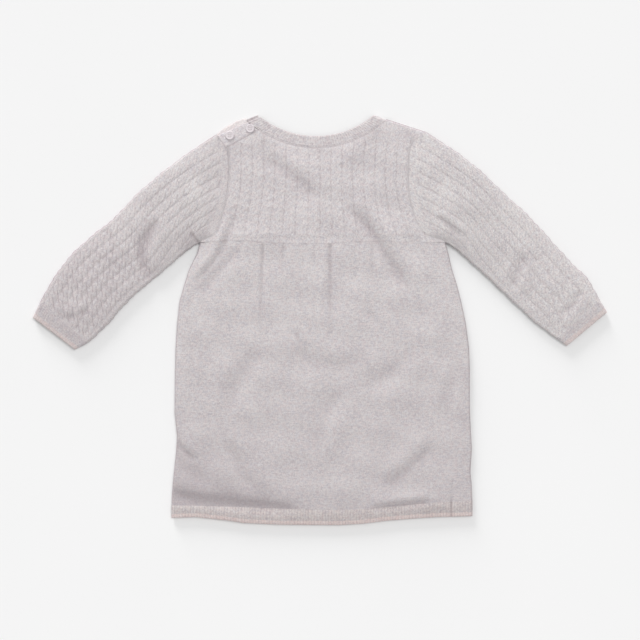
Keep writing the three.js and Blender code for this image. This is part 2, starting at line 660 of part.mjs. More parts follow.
function sleeveShape(side) {
  const fold = smooth(SLEEVES[side].map(({ foldX, foldY }) => ({ x: foldX, y: foldY })));
  const arm = smooth(SLEEVES[side].map(({ armX, armY }) => ({ x: armX, y: armY })));
  const armhole = (share) => armholePoint(side, clamp(1 - share, 0, 1), SEAM / 2);
  const start = [fold.getPoint(0), arm.getPoint(0)];
  const at = (station, distance) => {
    const [a, b] = [fold.getPoint(station / STATIONS), arm.getPoint(station / STATIONS)];
    const share = distance / a.distanceTo(b);
    const bow = armhole(share).sub(start[0].clone().lerp(start[1], share));
    const fade = clamp(1 - station / 2.6, 0, 1) ** 2;
    return a.clone().lerp(b, share).addScaledVector(bow, fade);
  };
  const width = (station) => fold.getPoint(station / STATIONS).distanceTo(arm.getPoint(station / STATIONS));
  const fromArmhole = (p) => Math.min(...spread(24, 0, 1).map((t) => Math.hypot(
    armhole(t).x - p.x, armhole(t).y - p.y)));
  return { fold, at, width, fromArmhole };
}

function sleeveTop(p, distance, width) {
  const loft = LOFT * builds(distance) * builds(width - distance);
  return UPPER + Math.max(loft - foldDepth(p.x, p.y), 0);
}

const tubeEdge = (distance, width, face) => {
  const inset = Math.min(distance, width - distance);
  return inset < ROLL ? lerp(MIDDLE, face, rollRise(inset)) : face;
};

function sleeveOver(shape, station, columns) {
  const width = shape.width(station);
  return columns.map(({ distance, rise }) => {
    const p = shape.at(station, distance);
    const plain = clamp((shape.fromArmhole(p) - CAP_MARGIN) / 5, 0, 1);
    const inside = Math.min(distance, width - distance) >= ROLL;
    const z = inside ? sleeveTop(p, distance, width) + plain * rise : tubeEdge(distance, width, UPPER);
    return point(p.x, p.y, z);
  });
}

function sleeveColumns(width, row) {
  const columns = ROLL_INSETS.map((distance) => ({ distance, rise: 0 }));
  for (let gutter = SLEEVE_FIRST_GUTTER; gutter < width - 7; gutter += SLEEVE_CABLE_PITCH) {
    const crest = gutter + SLEEVE_CABLE_PITCH * crestPlace(row);
    columns.push({ distance: gutter, rise: 0 });
    if (crest < width - 4) columns.push({ distance: crest, rise: CABLE_RISE });
  }
  return [...columns, ...ROLL_INSETS.map((d) => ({ distance: width - d, rise: 0 })).reverse()];
}

function tubeUnder(shape, station, distances, face) {
  const width = shape.width(station);
  return distances.map((distance) => {
    const p = shape.at(station, distance);
    return point(p.x, p.y, tubeEdge(distance, width, face));
  });
}

const underColumns = (width) => [
  ...ROLL_INSETS.slice(1), ROLL, width / 3, width * 2 / 3, width - ROLL,
  ...ROLL_INSETS.slice(1).map((d) => width - d).reverse(),
].reverse();

function insideSection(shape, station) {
  const width = shape.width(station);
  const place = (distance, z) => {
    const p = shape.at(station, distance);
    return point(p.x, p.y, z(p, distance));
  };
  const columns = spread(6, WALL + 2, width - WALL - 2);
  return {
    over: [
      place(WALL, () => MIDDLE),
      ...columns.map((d) => place(d, (p) => sleeveTop(p, d, width) - WALL - INNER_GAP)),
      place(width - WALL, () => MIDDLE),
    ],
    under: [...columns].reverse().map((d) => place(d, () => WALL)),
  };
}

// The sleeve's end at the armhole has the same points as the yoke's side, 0.3 mm away
function armholeEnd(side, inside) {
  const reachOver = armholeReach(side, BAND_FOOT);
  const reachUnder = armholeReach(side, STAND_FOOT);
  const shares = (list, reach) => [...(reach < 1 ? [1] : []), ...[...list].reverse().map((t) => t * reach)];
  const length = armholeCurves[side].getLength();
  const place = (t, face) => {
    const p = armholePoint(side, t, SEAM / 2);
    const [distance, width] = [(1 - t) * length, length];
    const top = sleeveTop(p, distance, width);
    const [high, low] = inside ? [top - WALL, WALL] : [top, 0];
    const target = face === 'over' ? high : low;
    const inset = Math.min(distance, width - distance);
    return point(p.x, p.y, inset < ROLL ? lerp(MIDDLE, target, rollRise(inset)) : target);
  };
  const trim = (list) => (inside ? list.filter((t) => Math.min(t, 1 - t) * length > WALL) : list);
  const ends = inside ? [1 - WALL / length, WALL / length] : [];
  const over = trim(shares(ARMHOLE_SHARES, reachOver)).map((t) => place(t, 'over'));
  const under = trim(shares(COARSE_SHARES, reachUnder)).map((t) => place(t, 'under')).reverse();
  if (!inside) return { over, under: under.slice(1, -1) };
  const [tip, foot] = ends.map((t) => {
    const p = armholePoint(side, t, SEAM / 2);
    return point(p.x, p.y, MIDDLE);
  });
  return { over: [tip, ...over, foot], under };
}

function sleeve(side) {
  const shape = sleeveShape(side);
  const end = CUFF_STATION - 0.01;
  const length = shape.fold.getLength();
  const stations = range(Math.floor(length / CABLE_CROSSING * 2))
    .map((i) => shape.fold.getUtoTmapping((i / 2 + 0.6) * CABLE_CROSSING / length) * STATIONS)
    .filter((station) => station < end - 0.08);
  const outer = [...stations, end].map((station, row) => ({
    over: sleeveOver(shape, station, sleeveColumns(shape.width(station), row)),
    under: tubeUnder(shape, station, underColumns(shape.width(station)), 0),
  }));
  const inner = spread(14, 0.25, end).map((station) => insideSection(shape, station));
  return tube([armholeEnd(side, false), ...outer], [armholeEnd(side, true), ...inner]);
}

function cuff(side) {
  const shape = sleeveShape(side);
  const section = (station) => {
    const width = shape.width(station);
    const ribs = Math.round((shape.width(CUFF_STATION) - 2 * ROLL) / RIB_PITCH);
    const columns = [
      ...ROLL_INSETS.map((distance) => ({ distance, rise: 0 })),
      ...spread(ribs * 2, ROLL, width - ROLL).map((distance, i) => ({ distance, rise: (i % 2) * RIB_RISE })),
      ...ROLL_INSETS.map((d) => ({ distance: width - d, rise: 0 })).reverse(),
    ];
    const over = columns.map(({ distance, rise }) => {
      const p = shape.at(station, distance);
      const inside = Math.min(distance, width - distance) >= ROLL;
      return point(p.x, p.y, inside ? sleeveTop(p, distance, width) + rise : tubeEdge(distance, width, UPPER));
    });
    return { over, under: tubeUnder(shape, station, underColumns(width), 0) };
  };
  const stations = spread(2, CUFF_STATION + 0.01, STATIONS);
  return tube(stations.map(section), stations.map((station) => insideSection(shape, station)));
}

// The dress
const COLOURS = { cable: 0xcfc8c9, jersey: 0xc8c1c1, rib: 0xcac0c0, button: 0xe2dbe0 };

function piece(name, geometry, colour, roughness = 0.95) {
  const material = new THREE.MeshStandardMaterial({ color: COLOURS[colour], roughness, metalness: 0 });
  const mesh = new THREE.Mesh(geometry, material);
  mesh.name = name;
  return mesh;
}

const dress = new THREE.Group();
dress.add(
  piece('back_yoke', backYoke(), 'cable'),
  piece('front_yoke', frontYoke(), 'cable'),
  piece('back_skirt', backSkirt(), 'jersey'),
  piece('front_skirt', frontSkirt(), 'jersey'),
  piece('hem_back', hemBack(), 'rib'),
  piece('hem_front', hemFront(), 'rib'),
  piece('neckband_back', neckbandBack(), 'rib'),
  piece('neckband_front', neckbandFront(), 'rib'),
  piece('shoulder_band_back', shoulderBand(BAND_EDGE, BAND_FOOT, 8, 3, bandHeight), 'rib'),
  piece('shoulder_stand_front', shoulderBand(STAND_EDGE, STAND_FOOT, 8, 1, standHeight), 'rib'),
);
for (const side of ['left', 'right']) {
  dress.add(piece(`sleeve_${side}`, sleeve(side), 'cable'), piece(`cuff_${side}`, cuff(side), 'rib'));
}
for (const [name, place] of Object.entries(BUTTONS)) {
  dress.add(piece(name, button(place), 'button', 0.4));
}

export default dress;
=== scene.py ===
import bpy
import numpy as np
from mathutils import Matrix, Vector


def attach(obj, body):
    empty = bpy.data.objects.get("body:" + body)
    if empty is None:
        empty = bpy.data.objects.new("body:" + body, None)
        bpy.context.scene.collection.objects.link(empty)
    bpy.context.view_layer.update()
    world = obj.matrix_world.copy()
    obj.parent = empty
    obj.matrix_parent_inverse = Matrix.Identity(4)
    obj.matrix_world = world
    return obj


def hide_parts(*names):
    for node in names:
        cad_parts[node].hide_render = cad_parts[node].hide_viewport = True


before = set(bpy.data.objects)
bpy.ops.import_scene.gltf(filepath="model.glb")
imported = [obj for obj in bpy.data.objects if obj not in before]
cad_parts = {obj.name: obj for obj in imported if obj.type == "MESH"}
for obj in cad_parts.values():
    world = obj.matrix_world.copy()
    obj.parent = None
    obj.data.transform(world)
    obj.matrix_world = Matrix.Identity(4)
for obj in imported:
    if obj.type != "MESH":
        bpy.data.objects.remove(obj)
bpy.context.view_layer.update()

# The board and the light. The dress is laid out flat on a plain pale board and seen from straight above.
# Two wide soft lamps stand beyond the neck, one high and one low, so each cable and fold has a light side
# towards them and a long faint shadow lies below the hem and the sleeves.
VIEW_WIDTH = 0.64        # metres of board across the square picture
LENS, SENSOR = 85, 36    # millimetres
CLOTH_LEVEL = 0.003      # metres; the height at which the picture is as wide as given
BOARD_LEVEL = -0.0002
# tilt is in radians from straight down, turn in radians towards the left of the picture
LAMPS = {
    "high_lamp": {"tilt": 0.45, "turn": -0.8, "power": 0.98, "spread": 0.5},
    "low_lamp": {"tilt": 1.37, "turn": 0.36, "power": 2.5, "spread": 0.36},
}
SKY = 0.583              # strength of the even light from all around
BOARD_HALF = 3.0         # metres
BOARD_TONES = [(0, (0.885, 0.885, 0.885, 1)), (1, (0.9, 0.9, 0.9, 1))]


def in_scene(name, data):
    thing = bpy.data.objects.new(name, data)
    bpy.context.scene.collection.objects.link(thing)
    return thing


def new_material(name):
    """A node material, with its node tree and its shader."""
    material = bpy.data.materials.new(name)
    material.use_nodes = True
    tree = material.node_tree
    return material, tree, tree.nodes["Principled BSDF"]


def tones(tree, value, shades):
    """The colour of a value, blended from pairs of a value and its colour."""
    ramp = tree.nodes.new("ShaderNodeValToRGB")
    while len(ramp.color_ramp.elements) < len(shades):
        ramp.color_ramp.elements.new(0.5)
    for element, (place, shade) in zip(ramp.color_ramp.elements, shades):
        element.position = place
        element.color = shade
    tree.links.new(value, ramp.inputs[0])
    return ramp.outputs[0]


def board_material():
    material, tree, shader = new_material("painted_board")
    shader.inputs["Roughness"].default_value = 0.9
    shader.inputs["Specular IOR Level"].default_value = 0.1
    paint = tree.nodes.new("ShaderNodeTexNoise")
    paint.inputs["Scale"].default_value = 40
    tree.links.new(tones(tree, paint.outputs[0], BOARD_TONES), shader.inputs["Base Color"])
    return material


camera_data = bpy.data.cameras.new("camera_above")
camera_data.lens = LENS
camera_data.sensor_width = SENSOR
camera = in_scene("camera_above", camera_data)
camera.location = (0, 0, CLOTH_LEVEL + VIEW_WIDTH * LENS / SENSOR)
bpy.context.scene.camera = camera
bpy.context.scene.view_settings.view_transform = "Standard"

board_mesh = bpy.data.meshes.new("board")
corners = ((-1, -1), (1, -1), (1, 1), (-1, 1))
board_points = [(x * BOARD_HALF, y * BOARD_HALF, BOARD_LEVEL) for x, y in corners]
board_mesh.from_pydata(board_points, [], [(0, 1, 2, 3)])
board_mesh.materials.append(board_material())
board = in_scene("board", board_mesh)

for name, place in LAMPS.items():
    lamp_data = bpy.data.lights.new(name, "SUN")
    lamp_data.energy = place["power"]
    lamp_data.angle = place["spread"]
    lamp = in_scene(name, lamp_data)
    lamp.rotation_euler = (-place["tilt"], 0, place["turn"])

room = bpy.data.worlds.new("pale_room")
room.use_nodes = True
sky = room.node_tree.nodes["Background"]
sky.inputs["Color"].default_value = (1, 1, 1, 1)
sky.inputs["Strength"].default_value = SKY
bpy.context.scene.world = room

# Back yoke. The upper back, machine knitted in a soft heathered yarn, with sixteen two-strand cables
# that fan out a little below the chest. It is linked to the sleeves, the skirt and the neckband.
MM = 0.001               # sizes are in millimetres from here on
WALL = 1.8               # knitted cloth, without the cables
AIR = 1.0                # between the front and the back where they lie flat
SEAM = 0.02              # gap between two linked pieces
MIDDLE = WALL + AIR / 2  # height of the folded sides
BACK_EDGE = MIDDLE + SEAM / 2    # where the back's folded sides meet the front's
FRONT_EDGE = MIDDLE - SEAM / 2
UPPER = WALL * 2 + AIR   # outer face of the back where it lies flat
ROLL = 2.5               # how far in from the outline a folded side rolls over
LOFT = 2.0               # how much further the back puffs up inside its outline
LOFT_REACH = 11          # over what distance from the outline it builds up
LOFT_BEYOND = {"hem": 1, "top": 3}       # how far outside the hem and the neckline the puff begins
NECK_SAG = 1.5           # how far the back sinks where no front lies under it
SAG_REACH = 14
CABLES = 16
CABLE_PITCH = 11.25
CABLE_RISE = 0.8
CABLE_CROSSING = 9.0     # length of one crossing
CABLE_AHEAD = 0.37       # share of a crossing by which each cable is ahead of the one beside it
CABLE_SWAY = 0.045       # sideways, in cables
# Two strands of one cable: how far they swing and lift, in half cables and shares of the height
STRAND = {"half": 0.5, "level": 0.7, "swing": 0.42, "lift": 0.3}
GUTTER_HALF = 0.09       # half width of the groove between two cables, in half cables
CROSSING_HALF = 0.1      # the same for the groove between the two strands
# painted shade in the groove between the two strands
CROSSING_PAINTED_SHADE = 1.9
YOKE_FAN = 1.13          # how much wider the cables stand at the lower edge
DIP_HALF = 0.8           # half width of the groove along a linked seam

# Outline of the body below the underarms
SIDES = {
    "y": (-205, -175, -158, -134, -118, -94, -54, -30, -6, 18, 34, 50, 66, 77),
    "left": (-149, -148, -146.5, -144, -143, -145.5, -145, -144.5, -143, -140.5, -136, -131, -123, -120),
    "right": (153, 152, 150.5, 152, 151, 150, 150, 149, 146, 141, 137, 132, 128.5, 125.5),
}
UNDERARM_Y = 77
SIDES_REACH = 30         # how far above the underarms the folded sides still shape the back
# Lower edge of the ribbed hem, and the line where its rib starts
HEM = {
    "x": (-150, -124, -92, -76, -40, 20, 44, 68, 92, 116, 154),
    "edge": (-198, -197, -200.5, -203, -204.6, -205, -203.5, -200.5, -198.6, -197, -196),
    "rib": (-185, -185.5, -186.5, -187, -188.5, -189.5, -188.5, -186.5, -184.5, -182, -180.5),
}
# Line where the skirt is gathered into the yoke
YOKE_SEAM = {
    "x": (-121, -95, -72, -57, -15, 10, 32, 56, 90, 127),
    "y": (77, 79, 79, 77.2, 76, 76.4, 78, 78.6, 78.4, 77),
}
# Armhole seams, from the underarm up to the shoulder tips
ARMHOLES = {
    "left": [(-120, 77.5), (-116.6, 80.2), (-112, 82), (-106.5, 85.5), (-101, 98), (-96, 113), (-92.5, 132),
             (-91.5, 153), (-94.5, 171.5), (-104.5, 185.3)],
    "right": [(125.5, 77.4), (122.2, 80), (116, 81.6), (106, 84.5), (99.5, 93), (92.5, 113), (89, 132),
              (89, 155), (92, 175), (106.5, 188)],
}
NECK_X, NECK_Y, NECK_HALF = -4, 205, 58
BACK_NECK = {"drop": 21, "flare": 0.0056}     # flare: the band's ends follow the shoulder slope
FRONT_NECK = {"drop": 52, "flare": -0.0037}
NECKBAND = 11.5
SHOULDER_RIGHT = ((54, 205), (106.5, 188))
BAND_FOOT = ((-61.7, 189.7), (-94.3, 172))    # lower edge of the shoulder band, from the neck outwards

# Soft folds in the back and the sleeves, drawn along their hollows. wide and deep are a hollow's half width
# and its depth, and bank is how far the cloth swells up beside it, on the left hand of the path.
FOLDS = [
    {"path": [(-58, 160), (-42, 153), (-26, 142), (-12, 130), (0, 118)],
     "wide": 6.5, "deep": 1.1, "bank": 0.6},
    {"path": [(26, 114), (42, 99), (54, 84), (63, 70), (74, 52), (92, 22)],
     "wide": 6.4, "deep": 2.0, "bank": 1.5},
    {"path": [(-87, 104), (-90, 91), (-95.5, 78), (-102, 64.6), (-112, 52), (-126, 36)],
     "wide": 3.2, "deep": 1.1, "bank": -0.6},
    {"path": [(-78, 72), (-94, 56), (-108, 42), (-120, 24)], "wide": 6, "deep": 0.8, "bank": 0.3},
    {"path": [(-160, -170), (-130, -179), (-96, -184), (-60, -187), (-16, -190.5)],
     "wide": 7, "deep": 1.9, "bank": 0.9},
    {"path": [(-150, -128), (-132, -146), (-112, -164), (-84, -180)], "wide": 9, "deep": 0.9, "bank": 0.4},
    {"path": [(-92, -120), (-84, -138), (-72, -160), (-54, -182)], "wide": 7, "deep": 0.9, "bank": 0.6},
    {"path": [(64, -168), (80, -155), (98, -140), (114, -124)], "wide": 6, "deep": 1.0, "bank": 0.6},
    {"path": [(50, -189), (72, -186.5), (90, -184), (112, -181)], "wide": 3.6, "deep": 1.0, "bank": 0.8},
    {"path": [(-28, -10), (-22, -18), (-17, -27)], "wide": 4, "deep": 0.5, "bank": 0.3},
    {"path": [(48, 10), (53, 2), (57, -6)], "wide": 4, "deep": 0.5, "bank": 0.3},
    {"path": [(-150, -114), (-142, -124), (-133, -133), (-124, -142)], "wide": 3.6, "deep": 1.1, "bank": 0.5},
    {"path": [(140, -40), (128, -70), (122, -100)], "wide": 7, "deep": 0.6, "bank": 0.3},
    {"path": [(-60, -30), (-84, -62), (-96, -96)], "wide": 9, "deep": 0.7, "bank": 0.5},
    {"path": [(-30, -24), (-6, -40), (24, -44), (48, -30)], "wide": 8, "deep": 0.7, "bank": 0.5},
    {"path": [(20, -70), (4, -100), (-4, -134)], "wide": 9, "deep": 0.6, "bank": 0.5},
    {"path": [(96, -26), (72, -52), (40, -70)], "wide": 8, "deep": 0.6, "bank": 0.4},
    {"path": [(-162, 101), (-170, 86), (-177, 70), (-175, 52), (-166, 38)],
     "wide": 6.2, "deep": 1.8, "bank": 0.8},
    {"path": [(-264, 2), (-246, 3), (-228, 12)], "wide": 3.6, "deep": 0.6, "bank": 0.5},
    {"path": [(-214, 92), (-206, 76), (-204, 62)], "wide": 5, "deep": 0.6, "bank": 0.4},
    {"path": [(116, 104), (128, 94), (142, 82)], "wide": 3.4, "deep": 1.1, "bank": 0.7},
    {"path": [(206, 66), (198, 50), (192, 28)], "wide": 5.5, "deep": 0.9, "bank": 0.5},
    {"path": [(262, 30), (252, 14), (240, 2)], "wide": 4.5, "deep": 0.8, "bank": 0.5},
    {"path": [(-129, 88), (-125.5, 82), (-120, 74)], "wide": 1.6, "deep": 1.0, "bank": 0.5},
]
FOLD_LEAD = 0.22         # share of a fold's path over which it fades in and out
# Where a fold's bank lies and how wide it is, in half widths of its hollow
BANK_OFF, BANK_HALF = 1.9, 1.5
FOLD_PAINTED_SHADE = 0.32         # painted shade in a fold's hollow, for each millimetre of its depth
RIM_PAINTED_SHADE = 2.6           # painted shade along a folded edge
LEAST_LOFT = -0.6        # a hollow may press the air out from under the back

# Low swellings that run across the whole cloth, from how it was smoothed out by hand
SWELLS = ((0.031, 0.017, 0.4), (-0.019, 0.043, 2.1), (0.053, -0.029, 4.0), (0.011, 0.071, 1.2))
SWELL_RISE = 0.17
SWELL_CLOSE = 2.6        # how close together they lie


def bell(off, wide):
    """1 in the middle, falling softly to both sides."""
    return np.exp(-((off / wide) ** 2))


def lerp(a, b, share):
    return a + (b - a) * share


def limited(value):
    return np.clip(value, 0, 1)


def builds(distance, reach=LOFT_REACH):
    return 1 - np.exp(-np.maximum(distance, 0) / reach)


def roll_rise(inset, reach=ROLL):
    return np.sqrt(1 - (1 - limited(inset / reach)) ** 2)


def folded_over(edge, face, inset):
    """The height of a face that rolls over at its folded side, down or up to the edge."""
    return lerp(edge, face, roll_rise(inset))


def side_x(side, y):
    return np.interp(y, SIDES["y"], SIDES[side])


def hem_y(x, line="edge"):
    return np.interp(x, HEM["x"], HEM[line])


def yoke_y(x):
    return np.interp(x, YOKE_SEAM["x"], YOKE_SEAM["y"])


def line_y(ends, x):
    (ax, ay), (bx, by) = ends
    return ay + (by - ay) * (x - ax) / (bx - ax)


def soft_curve(points, steps):
    """Places on a soft curve through the points; steps counts them from 0."""
    p = np.array(points, float)
    p = np.vstack([2 * p[0] - p[1], p, 2 * p[-1] - p[-2]])
    steps = np.clip(np.asarray(steps, float), 0, len(points) - 1)
    i = np.minimum(steps.astype(int), len(points) - 2)
    w = (steps - i)[..., None]
    p0, p1, p2, p3 = p[i], p[i + 1], p[i + 2], p[i + 3]
    d0, d1, d2 = (np.sqrt(np.linalg.norm(b - a, axis=-1, keepdims=True))
                  for a, b in ((p0, p1), (p1, p2), (p2, p3)))
    m1 = ((p1 - p0) / d0 - (p2 - p0) / (d0 + d1) + (p2 - p1) / d1) * d1
    m2 = ((p2 - p1) / d1 - (p3 - p1) / (d1 + d2) + (p3 - p2) / d2) * d1
    return p1 + m1 * w + (3 * p2 - 3 * p1 - 2 * m1 - m2) * w**2 + (2 * p1 - 2 * p2 + m1 + m2) * w**3


def run_along(path):
    """How far each point of a path is from its start."""
    return np.concatenate([[0], np.cumsum(np.linalg.norm(np.diff(path, axis=0), axis=1))])


def even_steps(points, shares):
    """The steps of soft_curve at equal shares of its length."""
    steps = np.linspace(0, len(points) - 1, 600)
    run = run_along(soft_curve(points, steps))
    return np.interp(shares, run / run[-1], steps)


def armhole(side, shares, away):
    """Points along an armhole seam, moved off it; more than 0 is towards the sleeve."""
    steps = even_steps(ARMHOLES[side], shares)
    ahead = soft_curve(ARMHOLES[side], steps + 0.02) - soft_curve(ARMHOLES[side], steps - 0.02)
    ahead /= np.linalg.norm(ahead, axis=-1, keepdims=True)
    turn = 1 if side == "left" else -1
    return soft_curve(ARMHOLES[side], steps) + turn * away * np.stack([-ahead[..., 1], ahead[..., 0]], -1)


def armhole_x(side, y):
    trace = armhole(side, np.linspace(0, 1, 200), 0)
    return np.interp(y, trace[:, 1], trace[:, 0])


def armhole_reach(side, foot):
    """How far up the armhole the foot of a shoulder band lies; the right one has no band."""
    if side == "right":
        return 1.0
    shares = np.linspace(0, 1, 401)
    return float(np.interp(foot[1][1] - 2 * SEAM, armhole(side, shares, 0)[:, 1], shares))


def neck_radius(neck):
    return (NECK_HALF**2 + neck["drop"] ** 2) / (2 * neck["drop"])


def neck_centre(neck):
    return NECK_Y - neck["drop"] + neck_radius(neck)


def neck_y(neck, x, inset):
    away = neck_radius(neck) + inset
    off = np.minimum(np.abs(x - NECK_X), away)
    return neck_centre(neck) - np.sqrt(away**2 - off**2)


def neck_point(neck, inset, shares, short=0.0):
    reach = np.arcsin(NECK_HALF / neck_radius(neck)) + inset * neck["flare"]
    angle = lerp(-reach + short, reach, shares)
    away = neck_radius(neck) + inset
    return NECK_X + away * np.sin(angle), neck_centre(neck) - away * np.cos(angle)


def fold_rise(x, y, folds=FOLDS):
    """How far the folds lift the cloth, less than 0 in their hollows."""
    rise = np.zeros(np.broadcast(x, y).shape)
    for fold in folds:
        path = soft_curve(fold["path"], np.linspace(0, len(fold["path"]) - 1, 4 * len(fold["path"])))
        nearest = np.full(rise.shape, np.inf)
        off, share = np.zeros(rise.shape), np.zeros(rise.shape)
        for i, ((ax, ay), (bx, by)) in enumerate(zip(path[:-1], path[1:])):
            dx, dy = bx - ax, by - ay
            along = limited(((x - ax) * dx + (y - ay) * dy) / (dx * dx + dy * dy))
            away = np.hypot(x - ax - along * dx, y - ay - along * dy)
            left = np.where(dx * (y - ay) - dy * (x - ax) >= 0, 1, -1)
            closer = away < nearest
            nearest = np.where(closer, away, nearest)
            off = np.where(closer, away * left, off)
            share = np.where(closer, (i + along) / (len(path) - 1), share)
        fade = np.sin(np.pi / 2 * limited(share / FOLD_LEAD))
        fade = fade * np.sin(np.pi / 2 * limited((1 - share) / FOLD_LEAD))
        wide, bank = fold["wide"], fold["bank"]
        beside = bell(off * np.sign(bank) / wide - BANK_OFF, BANK_HALF)
        rise = rise + fade * (abs(bank) * beside - fold["deep"] * bell(off, wide))
    return rise


def painted_fold_shade(x, y):
    """Painted shade in the hollows of the folds, as a share."""
    return -FOLD_PAINTED_SHADE * np.minimum(fold_rise(x, y), 0)


def painted_rim_shade(inset):
    """Painted shade along a folded edge, where the lamps light its rounded side brightly."""
    return RIM_PAINTED_SHADE * (1 - roll_rise(inset))


def swell(x, y):
    waves = [np.sin(x * a * SWELL_CLOSE + y * b * SWELL_CLOSE + c) for a, b, c in SWELLS]
    return SWELL_RISE * sum(waves)


def body_top(x, y):
    """Outer face of the back, without its cables and ribs."""
    low = np.minimum(y, UNDERARM_Y)
    sides = builds(x - side_x("left", low)) * builds(side_x("right", low) - x)
    across = lerp(sides, 1, limited((y - UNDERARM_Y + 1) / SIDES_REACH))
    top = np.minimum(line_y(SHOULDER_RIGHT, np.abs(x)), neck_y(BACK_NECK, x, 0))
    ends = builds(y - hem_y(x) + LOFT_BEYOND["hem"]) * builds(top - y + LOFT_BEYOND["top"])
    off = np.hypot(x - NECK_X, y - neck_centre(FRONT_NECK))
    sag = NECK_SAG * limited((neck_radius(FRONT_NECK) - off) / SAG_REACH)
    loft = LOFT * across * ends + swell(x, y) * across * ends + fold_rise(x, y)
    return UPPER + np.maximum(loft, LEAST_LOFT) - sag


def strand(off):
    """The round back of a strand; off is 1 at its sides."""
    return np.sqrt(np.maximum(1 - off**2, 0))


def cable(across, along, twist):
    """Height, from 0 to 1, of two strands that cross over each other, and the painted shade in their grooves.
    across counts the cables; twist says how clearly the crossings show."""
    turn = along / CABLE_CROSSING + CABLE_AHEAD * np.floor(across)
    uneven = 1 + 0.3 * np.sin(along / 7.3 + 2.4 * np.floor(across))
    across = across + CABLE_SWAY * np.sin(2 * np.pi * turn)
    place = 2 * (across - np.floor(across)) - 1
    turn = turn - np.floor(turn)
    swing = STRAND["swing"] * np.cos(np.pi * turn)
    lift = STRAND["lift"] * np.sin(np.pi * turn)
    over = (STRAND["level"] + lift) * strand((place + swing) / STRAND["half"])
    below = (STRAND["level"] - lift) * strand((place - swing) / STRAND["half"])
    gutter = bell(1 - np.abs(place), GUTTER_HALF)
    crossing = bell(np.abs(place + swing) - STRAND["half"], CROSSING_HALF) * np.sin(np.pi * turn)
    height = (1 - 0.6 * (1 - twist) * gutter) * (1 - twist * (1 - np.maximum(over, below)))
    height = height - 0.4 * twist * crossing
    beads = uneven * (1 - 0.7 * twist * (1 - np.cos(2 * np.pi * turn)))
    return height, np.maximum((1 - twist) * gutter * beads, CROSSING_PAINTED_SHADE * twist * crossing)


def dip(points, sides, depth):
    """How far a linked seam pulls down the borders of a grid of points, or how much painted shade lies along
    it.
    """
    flat = points[..., :2]
    border = {"left": flat[:, :1], "right": flat[:, -1:], "low": flat[:1], "high": flat[-1:]}
    pulled = np.zeros(flat.shape[:2])
    for side in sides:
        off = np.linalg.norm(flat - border[side], axis=-1)
        pulled = np.maximum(pulled, depth * bell(off, DIP_HALF))
    return pulled


def grid(*layers):
    """x, y, z, cloth across, cloth along and share of painted shade, as one array of rows and columns."""
    shape = np.broadcast(*layers).shape
    return np.stack([np.broadcast_to(layer, shape) for layer in layers], axis=-1).astype(float)


def thinned(count, every):
    """Every so many numbers up to count, and the last one."""
    return np.unique(np.concatenate([np.arange(0, count, every), [count - 1]]))


def numbered(face, start=0):
    """The point numbers of a grid of points."""
    return start + np.arange(face.shape[0] * face.shape[1]).reshape(face.shape[:2])


def closed(numbers):
    """Rows of point numbers that each run round to their first one again."""
    return np.concatenate([numbers, numbers[:, :1]], axis=1)


def row_faces(a, b):
    return np.stack([a[:, :-1], b[:, :-1], b[:, 1:], a[:, 1:]], axis=-1).reshape(-1, 4)


def edge_faces(a, b):
    """Triangles between two runs of points that may differ in number."""
    faces, i, j = [], 0, 0
    last_a, last_b = len(a) - 1, len(b) - 1
    while i < last_a or j < last_b:
        if j == last_b or (i < last_a and (i + 1) * last_b <= (j + 1) * last_a):
            faces.append((a[i], b[j], a[i + 1]))
            i += 1
        else:
            faces.append((a[i], b[j], b[j + 1]))
            j += 1
    return faces


CUT_EDGE = 1.0           # radians; a piece's own edges are crisp, its folds are not


def cloth_mesh(name, points, quads, triangles, material):
    """A piece from its points, given as grid() gives them, and the numbers of its faces' points."""
    split = np.concatenate([quads[:, [0, 1, 2]], quads[:, [0, 2, 3]], triangles])
    a, b, c = (points[split[:, i], :3] for i in range(3))
    if (a * np.cross(b, c)).sum() < 0:
        quads, triangles = quads[:, ::-1], triangles[:, ::-1]
    loops = np.concatenate([quads.ravel(), triangles.ravel()]).astype(np.int32)
    starts = np.concatenate([np.arange(len(quads)) * 4, len(quads) * 4 + np.arange(len(triangles)) * 3])
    mesh = bpy.data.meshes.new(name)
    mesh.vertices.add(len(points))
    mesh.vertices.foreach_set("co", (points[:, :3] * MM).ravel())
    mesh.loops.add(len(loops))
    mesh.loops.foreach_set("vertex_index", loops)
    mesh.polygons.add(len(starts))
    mesh.polygons.foreach_set("loop_start", starts.astype(np.int32))
    mesh.polygons.foreach_set("use_smooth", np.ones(len(starts), bool))
    mesh.uv_layers.new(name="cloth").data.foreach_set("uv", points[loops, 3:5].ravel())
    # Each point's share of painted shade, which the knit materials blend towards their shadow colour
    mesh.attributes.new("painted_shade", "FLOAT", "POINT").data.foreach_set("value", points[:, 5].astype(np.float32))
    mesh.update(calc_edges=True)
    mesh.validate()
    mesh.set_sharp_from_angle(angle=CUT_EDGE)
    mesh.materials.append(material)
    return in_scene(name, mesh)


def panel(name, over, under, material):
    """A closed thin panel from its outer and its inner face; the inner one may be coarser."""
    points = np.concatenate([over.reshape(-1, 6), under.reshape(-1, 6)])
    top = numbered(over)
    bottom = numbered(under, top.size)
    quads = np.concatenate([row_faces(top[:-1], top[1:]), row_faces(bottom[1:], bottom[:-1])])
    rim = (edge_faces(bottom[0], top[0]) + edge_faces(top[-1], bottom[-1])
           + edge_faces(top[:, 0], bottom[:, 0]) + edge_faces(bottom[:, -1], top[:, -1]))
    return cloth_mesh(name, points, quads, np.array(rim), material)


def maths(tree, operation, *values):
    step = tree.nodes.new("ShaderNodeMath")
    step.operation = operation
    for socket, value in zip(step.inputs, values):
        if isinstance(value, (int, float)):
            socket.default_value = value
        else:
            tree.links.new(value, socket)
    return step.outputs[0]


